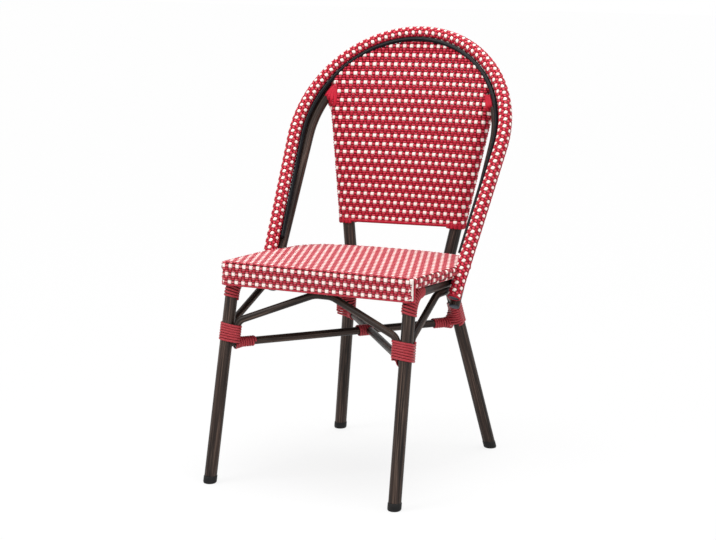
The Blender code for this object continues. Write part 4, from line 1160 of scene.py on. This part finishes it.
# The seat's rows lie closer on the apron than on its top
APRON_FIRST_ROW = 0.0085
APRON_ROW = 0.0164
SEAT_ROW = 0.0187
SEAT_ROW_START = SEAT_SKIN + SEAT_BEND - (QUARTER + APRON_FIRST_ROW - SEAT_SKIN - SEAT_BEND)
SEAT_COLUMNS = (-0.0021, 0.0080)
SEAT_WIDTHS = (0.0081, 0.0047)
SEAT_SEED = 23
APRON_LEAN = 0.05
APRON_POINTS = 120
APRON_BEND_POINTS = 12
APRON_ROLL = (0.0023, 0.0020)

# The strands round a corner of the apron: the second is cream, and the last ends at the seat's side
APRON_CORNER_ANGLES = np.radians((2.0, 40.0, 76.0, 96.0))
APRON_CORNER_POINTS = 16
RED_CORNER_STRAND = (0.0025, 0.0013)
CREAM_CORNER_STRAND = (0.0041, 0.0013)


def seat_rows(row):
    return SEAT_ROW_START + np.where(row < 0, APRON_ROW, SEAT_ROW) * row


def leaned(u, v):
    """The apron's columns lean a little to the left on their way down."""
    return u - APRON_LEAN * np.maximum(SEAT_ROW_START - v, 0.0), v


def make_seat():
    weave = Weave(
        lambda u, v: seat_form(*leaned(u, v)), lambda u, v: seat_inside(*leaned(u, v)),
        SEAT_COLUMNS, seat_rows, FLAT_PARTS, SEAT_WIDTHS, FLAT_SWING, FLAT_THICKNESS, SEAT_SEED)
    names = ("seat_long_strands", "seat_red_strands", "seat_cream_strands")
    columns = (-32, 32)
    lay_weave(weave, columns, (-10, 72), (columns, range(-8, 70)), names, "seat_weave", SEAT_FINISHES)
    make_apron_edges()


def make_apron_edges():
    """Rolled strand along the apron's bottom, and upright strands round its corners."""
    corner_r = SEAT_RADII[0]
    half = SEAT_FRONT_HALF - SEAT_SKIN - corner_r
    low = -APRON_HEIGHT + APRON_EDGE
    turn = np.linspace(0, math.pi / 2, APRON_BEND_POINTS)[1:]
    bend_x, bend_v = corner_r * np.sin(turn), corner_r * (1 - np.cos(turn))
    x = np.concatenate([-half - bend_x[::-1], np.linspace(-half, half, APRON_POINTS), half + bend_x])
    v = np.concatenate([bend_v[::-1], np.zeros(APRON_POINTS), bend_v]) + SEAT_SKIN
    points = seat_place(x, v, np.full(len(x), low))
    outward = unit(np.stack([np.gradient(v), -np.gradient(x), np.zeros(len(x))], axis=1))
    up = np.tile((0.0, 0.0, 1.0), (len(x), 1))
    red, cream = [(points, up, outward, laid(x, APRON_NUMBER), strand_section(*APRON_ROLL), False)], []
    for _, side in SIDES:
        for number, angle in enumerate(APRON_CORNER_ANGLES):
            bottom = low if angle < APRON_CORNER_ANGLES[-1] else -SEAT_THICKNESS
            drop = np.linspace(-SEAT_SKIN, bottom, APRON_CORNER_POINTS)
            bent = np.sqrt(np.clip(1 - (1 + drop / SEAT_BEND) ** 2, 0, 1))
            reach = corner_r - np.where(-drop < SEAT_BEND, SEAT_BEND * (1 - bent), 0)
            sin, cos = math.sin(angle), math.cos(angle)
            points = seat_place(side * (half + reach * sin), SEAT_SKIN + corner_r - reach * cos, drop)
            outward = np.tile((side * sin, -cos, 0.0), (APRON_CORNER_POINTS, 1))
            across = np.tile((side * cos, sin, 0.0), (APRON_CORNER_POINTS, 1))
            strands, section = (cream, CREAM_CORNER_STRAND) if number == 1 else (red, RED_CORNER_STRAND)
            lay = laid(drop, STRAND_NUMBER_STEP * number)
            strands.append((points, across, outward, lay, strand_section(*section), False))
    keep_strands("apron_edge_strands", red, SEAT_FINISHES[1], "seat_weave")
    keep_strands("apron_corner_strands", cream, SEAT_FINISHES[2], "seat_weave")


# Woven hoop

HOOP_SKIN_R = 0.0126
HOOP_WARPS = 12
HOOP_SPACING = 0.004
HOOP_PLAN = arch_plan(WOVEN_ARCH_R, WOVEN_SPLAY, WOVEN_END_S)
HOOP_LINE, HOOP_MARKS = even_line([hoop_point(x, s, 0.0) for x, s in HOOP_PLAN], HOOP_SPACING)
HOOP_WAYS = np.gradient(HOOP_LINE, axis=0)
HOOP_ROUND = 2 * math.pi * HOOP_SKIN_R
HOOP_COLUMN = HOOP_ROUND / HOOP_WARPS
HOOP_LENGTH = float(HOOP_MARKS[-1])
HOOP_ROW = 0.016172
HOOP_TURN_ROWS = 3
HOOP_RISE = -HOOP_TURN_ROWS * HOOP_ROW / HOOP_ROUND
HOOP_STEP = 0.85
HOOP_PARTS = (0.0, 0.5)
HOOP_WIDTHS = (0.0079, 0.0066)
HOOP_SWING = 0.0010
HOOP_THICKNESS = 0.0020
HOOP_SEED = 37
HOOP_RIM = 0.002
HOOP_RIM_POINTS = 24
HOOP_RIM_STRAND = (0.0028, 0.0017)
PIPING_SPACING = 0.006
PIPING_SIDES = 16

# The weave turns a little round the hoop on its way over the top, and its rows draw together at the bends
HOOP_PLACES = (0.05, 0.15, 0.25, 0.35, 0.40, 0.45, 0.50, 0.60, 0.70, 0.80, 0.90, 1.00, 1.10, 1.20, 1.30, 1.40)
HOOP_TURNS = np.radians((44, 41, 34, 36, 27, 9, 0, -4, -7, -14, -6, -3, 12, 17, 20, 18))
HOOP_SHIFTS = np.array((
    0.88, 0.88, 0.84, 0.82, 0.73, 0.63, 0.57, 0.54, 0.59, 0.59, 0.44, 0.27, 0.04, -0.05, -0.12, -0.17))


def hoop_climb(u):
    """How far a crosswise strand has climbed: little where a cream one lies on top, more where it dips."""
    turn = math.pi * u / HOOP_COLUMN
    return HOOP_RISE * (u - HOOP_STEP * np.sin(turn) * HOOP_COLUMN / math.pi)


def hoop_along(u, w):
    """Distance along the hoop, and how far the weave is turned round it there."""
    even = w + hoop_climb(u)
    shift, turn = [np.interp(even, HOOP_PLACES, values) for values in (HOOP_SHIFTS, HOOP_TURNS)]
    return even + HOOP_ROW * shift, turn


def hoop_form(u, w):
    """Surface of the woven hoop; its crosswise strands climb as they go round."""
    s, turn = hoop_along(u, w)
    way = unit(follow(s, HOOP_MARKS, HOOP_WAYS))
    side = unit(np.cross(way, HOOP_BACKWARD))
    angle = u / HOOP_SKIN_R + turn
    spoke = side * np.cos(angle)[:, None] + np.cross(way, side) * np.sin(angle)[:, None]
    return follow(s, HOOP_MARKS, HOOP_LINE) + spoke * HOOP_SKIN_R


def hoop_inside(u, w):
    s, _ = hoop_along(u, w)
    return (s > HOOP_RIM) & (s < HOOP_LENGTH - HOOP_RIM)


def hoop_rows(row):
    return HOOP_ROW * row


def make_woven_hoop():
    rows = round(HOOP_LENGTH / HOOP_ROW)
    turns = rows // HOOP_TURN_ROWS + 3
    weave = Weave(
        hoop_form, hoop_inside, (0.0, HOOP_COLUMN), hoop_rows,
        HOOP_PARTS, HOOP_WIDTHS, HOOP_SWING, HOOP_THICKNESS, HOOP_SEED, steps=4)
    names = ("hoop_long_strands", "hoop_red_strands", "hoop_cream_strands")
    wefts = (-HOOP_WARPS * turns, 2 * HOOP_WARPS), range(2 * HOOP_TURN_ROWS)
    lay_weave(weave, (0, HOOP_WARPS - 1), (-10, 2 * rows + 14), wefts, names, "hoop_weave", BACK_FINISHES)
    rims = []
    for end, shift in ((HOOP_RIM, HOOP_SHIFTS[0]), (HOOP_LENGTH - HOOP_RIM, HOOP_SHIFTS[-1])):
        around = np.arange(HOOP_RIM_POINTS) / HOOP_RIM_POINTS * HOOP_ROUND
        points, _, out = laid_frames(hoop_form, around, end - HOOP_ROW * shift - hoop_climb(around), False)
        across = unit(np.cross(out, np.roll(points, -1, axis=0) - np.roll(points, 1, axis=0)))
        rims.append((points, across, out, laid(around, RIM_NUMBER), strand_section(*HOOP_RIM_STRAND), True))
    keep_strands("hoop_rim_strands", rims, BACK_FINISHES[1], "hoop_weave")


def make_piping():
    line, marks = even_line(piping_path(), PIPING_SPACING)
    _, side, up = carried_frames(line)
    run = (line, side, up, laid(marks, 0.0), strand_section(PIPING_R, PIPING_R, PIPING_SIDES), False)
    keep_strands("hoop_gloss_piping", [run], GLOSS_PIPING, "hoop_piping")


# Bindings

WRAP_WIDTH = 0.0052
WRAP_THICKNESS = 0.0031
WRAP_POINTS = 32
WRAP_FILL = 0.49
WRAP_SLACK = 0.00035
SLACK_PER_TURN, SLACK_PER_START = 7.1, 40
WRAP_NUMBER = 9
OUTLINE_POINTS = 48
OUTLINE_STEP = 0.0006
BOW_END_REACH = 0.02
FRONT_WRAP_Z = 0.2850
FRONT_WRAP_TURNS = 7.5
FRONT_WRAP_TILT = {-1: -0.0035, 1: 0.0018}
REAR_WRAP_Z = 0.2860
REAR_WRAP_TURNS = 9
PLAIN_TILT = 0.0012
BEND_WRAP_LOW_Z = 0.373
BEND_WRAP_HIGH_Y = 0.130
BEND_WRAP_TILT = 0.0022
BEND_LINE_SPACING = 0.002
LEG_POINTS = 240
RAIL_LOW_Z = 0.38
END_WRAP_AWAY = 0.019
END_WRAP_TURNS = 8
END_WRAP_FLARE = 0.0035
END_WRAP_FLARE_LENGTH = 0.016
CROSSING_TURNS = 6
CROSSING_START = 0.005
CROSSING_SPARE = 0.0012

# The shoulder of the bar that joins a leg low in its binding: how far it reaches out and up
FRONT_SHOULDER = (0.020, 0.012)
REAR_SHOULDER = (0.028, 0.040)


def hull_round(circles, clearance):
    """Even points round the tight outline of some circles, given as (x, y, radius)."""
    angles = 2 * math.pi * np.arange(OUTLINE_POINTS) / OUTLINE_POINTS
    spokes = np.stack([np.cos(angles), np.sin(angles)], axis=1)
    cloud = np.concatenate([(x, y) + (radius + clearance) * spokes for x, y, radius in circles])
    ring = cloud[convex_hull_2d([Vector(spot) for spot in cloud])]
    area = np.sum(ring[:, 0] * np.roll(ring[:, 1], -1) - ring[:, 1] * np.roll(ring[:, 0], -1))
    if area < 0:
        ring = ring[::-1]
    ring = np.roll(ring, -int(np.argmax(ring[:, 0])), axis=0)
    closed = np.concatenate([ring, ring[:1]])
    along = distance_along(closed)
    return follow(np.linspace(0, along[-1], WRAP_POINTS + 1)[:-1], along, closed)


def bow_beside(bow, origin, axis, first, second, station):
    """Where a bow's centre line passes a station of a leg, in the leg's own cross plane."""
    heights = [(point - origin).dot(axis) for point in bow]
    for start, end, low, high in zip(bow, bow[1:], heights, heights[1:]):
        if low <= station <= high:
            centre = start.lerp(end, (station - low) / (high - low)) - origin
            return [(centre.dot(first), centre.dot(second), BOW_TUBE_R)]
    return []


def wrap(name, node, place, outline_at, start, turns, tilt):
    """One unbroken strand wound round a bundle of tubes; place gives a point, its axis and its centre."""
    spots = []
    for step in range(int(turns * WRAP_POINTS) + 1):
        turn = step / WRAP_POINTS
        slack = WRAP_SLACK * math.sin(SLACK_PER_TURN * turn + SLACK_PER_START * start)
        station = start + WRAP_WIDTH * turn + tilt * math.cos(2 * math.pi * turn) + slack
        spots.append([tuple(spot) for spot in place(station, *outline_at(station)[step % WRAP_POINTS])])
    points, axes, centres = np.array(spots).transpose(1, 0, 2)
    way = headings(points)
    across = square_to(way, axes)
    out = np.cross(across, way)
    out = out * np.sign(((points - centres) * out).sum(1))[:, None]
    section = strand_section(WRAP_WIDTH * WRAP_FILL, WRAP_THICKNESS / 2)
    run = (points, across, out, laid(distance_along(points), start * WRAP_NUMBER), section, False)
    keep_strands(name, [run], BOUND_CORD, node)


def straight_place(origin, axis, first, second):
    def place(station, a, b):
        centre = origin + axis * station
        return centre + first * a + second * b, axis, centre
    return place


def bundle_outline(origin, axis, first, second, bows, bar, shoulder):
    """Outline of a leg with the bows beside it, and low down the shoulder of the bar that joins it there."""
    known = {}

    def outline_at(station):
        key = round(station / OUTLINE_STEP)
        if key not in known:
            level = key * OUTLINE_STEP
            circles = [(0.0, 0.0, LEG_TUBE_R)]
            for bow in bows:
                circles += bow_beside(bow, origin, axis, first, second, level)
            reach = shoulder[0] * max(0.0, 1.0 - max(0.0, level) / shoulder[1])
            circles.append((bar.dot(first) * reach, bar.dot(second) * reach, STRETCHER_TUBE_R))
            known[key] = hull_round(circles, WRAP_THICKNESS / 2)
        return known[key]
    return outline_at


def leg_wrap(label, node, axes, origin, bows, bar, shoulder, turns, tilt):
    """Binding of a leg and the bows that end beside it; axes are the leg's own and two square to it."""
    bows = [[bow[0] - axes[0] * BOW_END_REACH] + bow for bow in bows]
    outline = bundle_outline(origin, *axes, bows, bar.normalized(), shoulder)
    wrap(label, node, straight_place(origin, *axes), outline, 0.0, turns, tilt)


def make_bindings():
    for name, side in SIDES:
        front_bow, side_bow = [
            bend_line(corners, BOW_RADII) for corners in (front_bow_corners(side), side_bow_corners(side))]
        axis = leg_axis(front_leg_point, side)
        front, rear = stretcher_ends(side)
        leg_wrap("front_leg_wrap_" + name, "front_binding_" + name, (axis, *leg_axes(axis, side)),
                 front_leg_point(side, FRONT_WRAP_Z), [front_bow, side_bow], rear - front,
                 FRONT_SHOULDER, FRONT_WRAP_TURNS, FRONT_WRAP_TILT[side])
        axis = leg_axis(rear_leg_point, side)
        ahead = rear_bow_offset(side).normalized()
        front, rear = stretcher_ends(-side)
        leg_wrap("rear_leg_wrap_" + name, "rear_binding_" + name, (axis, ahead, axis.cross(ahead)),
                 rear_leg_point(side, REAR_WRAP_Z), [side_bow[::-1]], front - rear,
                 REAR_SHOULDER, REAR_WRAP_TURNS, PLAIN_TILT)
        make_bend_wrap(name, side)
    make_stretcher_wraps()


def make_bend_wrap(name, side):
    """Strand wound round a front leg's top and on round the bend into its rail."""
    line, marks = even_line(bend_line(front_leg_corners(side), LEG_RADII), BEND_LINE_SPACING)
    ways = headings(line)
    low = float(np.interp(BEND_WRAP_LOW_Z, line[:LEG_POINTS, 2], marks[:LEG_POINTS]))
    high = float(marks[np.argmin(np.abs(line[:, 1] - BEND_WRAP_HIGH_Y) + (line[:, 2] < RAIL_LOW_Z))])
    ring = hull_round([(0.0, 0.0, LEG_TUBE_R)], WRAP_THICKNESS / 2)

    def place(station, a, b):
        centre = Vector(follow(station, marks, line))
        axis = Vector(follow(station, marks, ways)).normalized()
        inward, rearward = leg_axes(axis, side)
        return centre + inward * a + rearward * b, axis, centre
    wrap("front_bend_wrap_" + name, "front_top_binding_" + name, place, lambda station: ring,
         low, (high - low) / WRAP_WIDTH, BEND_WRAP_TILT * side)


def bar_round(spare):
    return hull_round([(0.0, 0.0, STRETCHER_TUBE_R)], WRAP_THICKNESS / 2 + spare)


def flared_round(station):
    """A bar's own outline, a little wider where its binding starts at the leg."""
    return bar_round(END_WRAP_FLARE * max(0.0, 1.0 - max(0.0, station) / END_WRAP_FLARE_LENGTH))


def bar_wrap(label, node, start, axis, turns, outline):
    across = axis.cross(UPWARD).normalized()
    place = straight_place(start, axis, across, axis.cross(across))
    wrap(label, node, place, outline, 0.0, turns, PLAIN_TILT)


def make_stretcher_wraps():
    for (name, side), (other_name, _) in zip(SIDES, SIDES[::-1]):
        front, rear = stretcher_ends(side)
        for label, end, other in (("front_" + name, front, rear), ("rear_" + other_name, rear, front)):
            axis = (other - end).normalized()
            bar_wrap("stretcher_wrap_" + label, "stretcher_binding_" + label,
                     end + axis * END_WRAP_AWAY, axis, END_WRAP_TURNS, flared_round)
    front, rear = stretcher_ends(-1)
    axis = (front - rear).normalized()
    ring = bar_round(CROSSING_SPARE)
    bar_wrap("crossing_wrap", "crossing_binding",
             crossing_point() - axis * CROSSING_START, axis, CROSSING_TURNS, lambda station: ring)


# Foot glides, as height and radius

GLIDE_PROFILE = (
    (0.0, 0.0106), (0.0007, 0.0123), (0.0020, 0.0134), (0.0040, 0.0140), (0.0145, 0.0140), (0.0156, 0.0136))
GLIDE_SIDES = 32


def make_glides():
    """Each glide has a rounded sole, level on the floor, and a collar round the tube's end."""
    for name, side in SIDES:
        for place, leg_point in (("front_", front_leg_point), ("rear_", rear_leg_point)):
            piece = begin_circle(leg_point(side, 0.0), UPWARD, GLIDE_PROFILE[0][1], GLIDE_SIDES, "NGON")
            for (low, radius), (high, next_radius) in zip(GLIDE_PROFILE, GLIDE_PROFILE[1:]):
                draw_out(leg_point(side, high) - leg_point(side, low))
                wider = next_radius / radius
                bpy.ops.transform.resize(value=(wider, wider, 1.0), center_override=leg_point(side, high))
            end_edit()
            bpy.ops.object.shade_smooth()
            label = place + name
            keep(piece, "rounded_glide_" + label, FOOT_PLASTIC, "foot_glide_" + label)


def dress_model_nodes():
    """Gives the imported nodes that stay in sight, or lie inside, their own finish."""
    plastic = ("hoop_plug_left", "hoop_plug_right", "hoop_core")
    metal = ("seat_frame", "seat_brace_front", "seat_brace_rear")
    for names, material in ((plastic, PLUG_PLASTIC), (metal, BARE_METAL)):
        for name in names:
            NODES[name].data.materials.clear()
            NODES[name].data.materials.append(material)


# Studio

CAMERA_AT = (1.87094, -3.64476, 1.13413)
CAMERA_AZIMUTH = math.radians(27.334)
CAMERA_DROP = math.radians(9.944)
CAMERA_ROLL = math.radians(0.119)
CAMERA_LENS = 100.537
CAMERA_SENSOR = 36.0
FLOOR_SIZE = 40.0
FLOOR_COLOUR = (0.86, 0.86, 0.86, 1)
FLOOR_GLOW = 0.985
SHADOW_SHARE = 0.20
LIGHT_LEVEL = 0.45
LIGHT_AIM = Vector((0, 0, 0.45))

# Name, place, size and power of each light
LAMPS = (
    ("key_panel", (-1.6, -2.2, 2.6), 1.8, 54.0),
    ("fill_panel", (2.6, -1.6, 1.6), 2.2, 20.0),
    ("top_panel", (0.2, 0.2, 3.0), 2.0, 70.0))


def make_camera():
    ahead = Vector((
        -math.sin(CAMERA_AZIMUTH) * math.cos(CAMERA_DROP),
        math.cos(CAMERA_AZIMUTH) * math.cos(CAMERA_DROP),
        -math.sin(CAMERA_DROP)))
    right = ahead.cross(UPWARD).normalized()
    up = right.cross(ahead)
    rolled = right * math.cos(CAMERA_ROLL) + up * math.sin(CAMERA_ROLL)
    up = up * math.cos(CAMERA_ROLL) - right * math.sin(CAMERA_ROLL)
    data = bpy.data.cameras.new("photo_camera")
    data.lens = CAMERA_LENS
    data.sensor_width = CAMERA_SENSOR
    camera = bpy.data.objects.new("photo_camera", data)
    bpy.context.scene.collection.objects.link(camera)
    camera.matrix_world = Matrix((rolled, up, -ahead)).transposed().to_4x4()
    camera.location = CAMERA_AT
    bpy.context.scene.camera = camera


def make_floor():
    """A pale floor that looks white and still takes the chair's shadow."""
    deselect()
    bpy.ops.mesh.primitive_plane_add(size=FLOOR_SIZE)
    floor = bpy.context.object
    floor.name = "studio_floor"
    material = bpy.data.materials.new("pale_floor")
    nodes = Nodes(material)
    nodes.tree.nodes.remove(nodes.tree.nodes["Principled BSDF"])
    matte = nodes.node("ShaderNodeBsdfDiffuse", {}, {"Color": FLOOR_COLOUR}).outputs[0]
    glow = nodes.node("ShaderNodeEmission", {}, {"Strength": 1.0}).outputs[0]
    sockets = {"Vector": nodes.object_place()}
    near = nodes.amount("ShaderNodeTexGradient", {"gradient_type": "SPHERICAL"}, sockets, "Fac")
    share = nodes.seen() * (FLOOR_GLOW - SHADOW_SHARE * near)
    both = nodes.node("ShaderNodeMixShader", {}, {0: share, 1: matte, 2: glow})
    nodes.feed(nodes.tree.nodes["Material Output"].inputs["Surface"], both.outputs[0])
    floor.data.materials.append(material)


def make_lights():
    world = bpy.data.worlds.new("studio_world")
    nodes = Nodes(world)
    bpy.context.scene.world = world
    back = nodes.tree.nodes["Background"]
    back.inputs["Color"].default_value = (1.0, 1.0, 1.0, 1)
    nodes.feed(back.inputs["Strength"], LIGHT_LEVEL + (1.0 - LIGHT_LEVEL) * nodes.seen())
    for name, place, size, power in LAMPS:
        data = bpy.data.lights.new(name, "AREA")
        data.size = size
        data.energy = power
        lamp = bpy.data.objects.new(name, data)
        lamp.location = place
        lamp.rotation_euler = (LIGHT_AIM - Vector(place)).to_track_quat("-Z", "Y").to_euler()
        bpy.context.scene.collection.objects.link(lamp)


make_frame_tubes()
make_back()
make_seat()
make_woven_hoop()
make_piping()
make_bindings()
make_glides()
dress_model_nodes()
make_floor()
make_lights()
make_camera()
bpy.context.scene.view_settings.view_transform = "Standard"
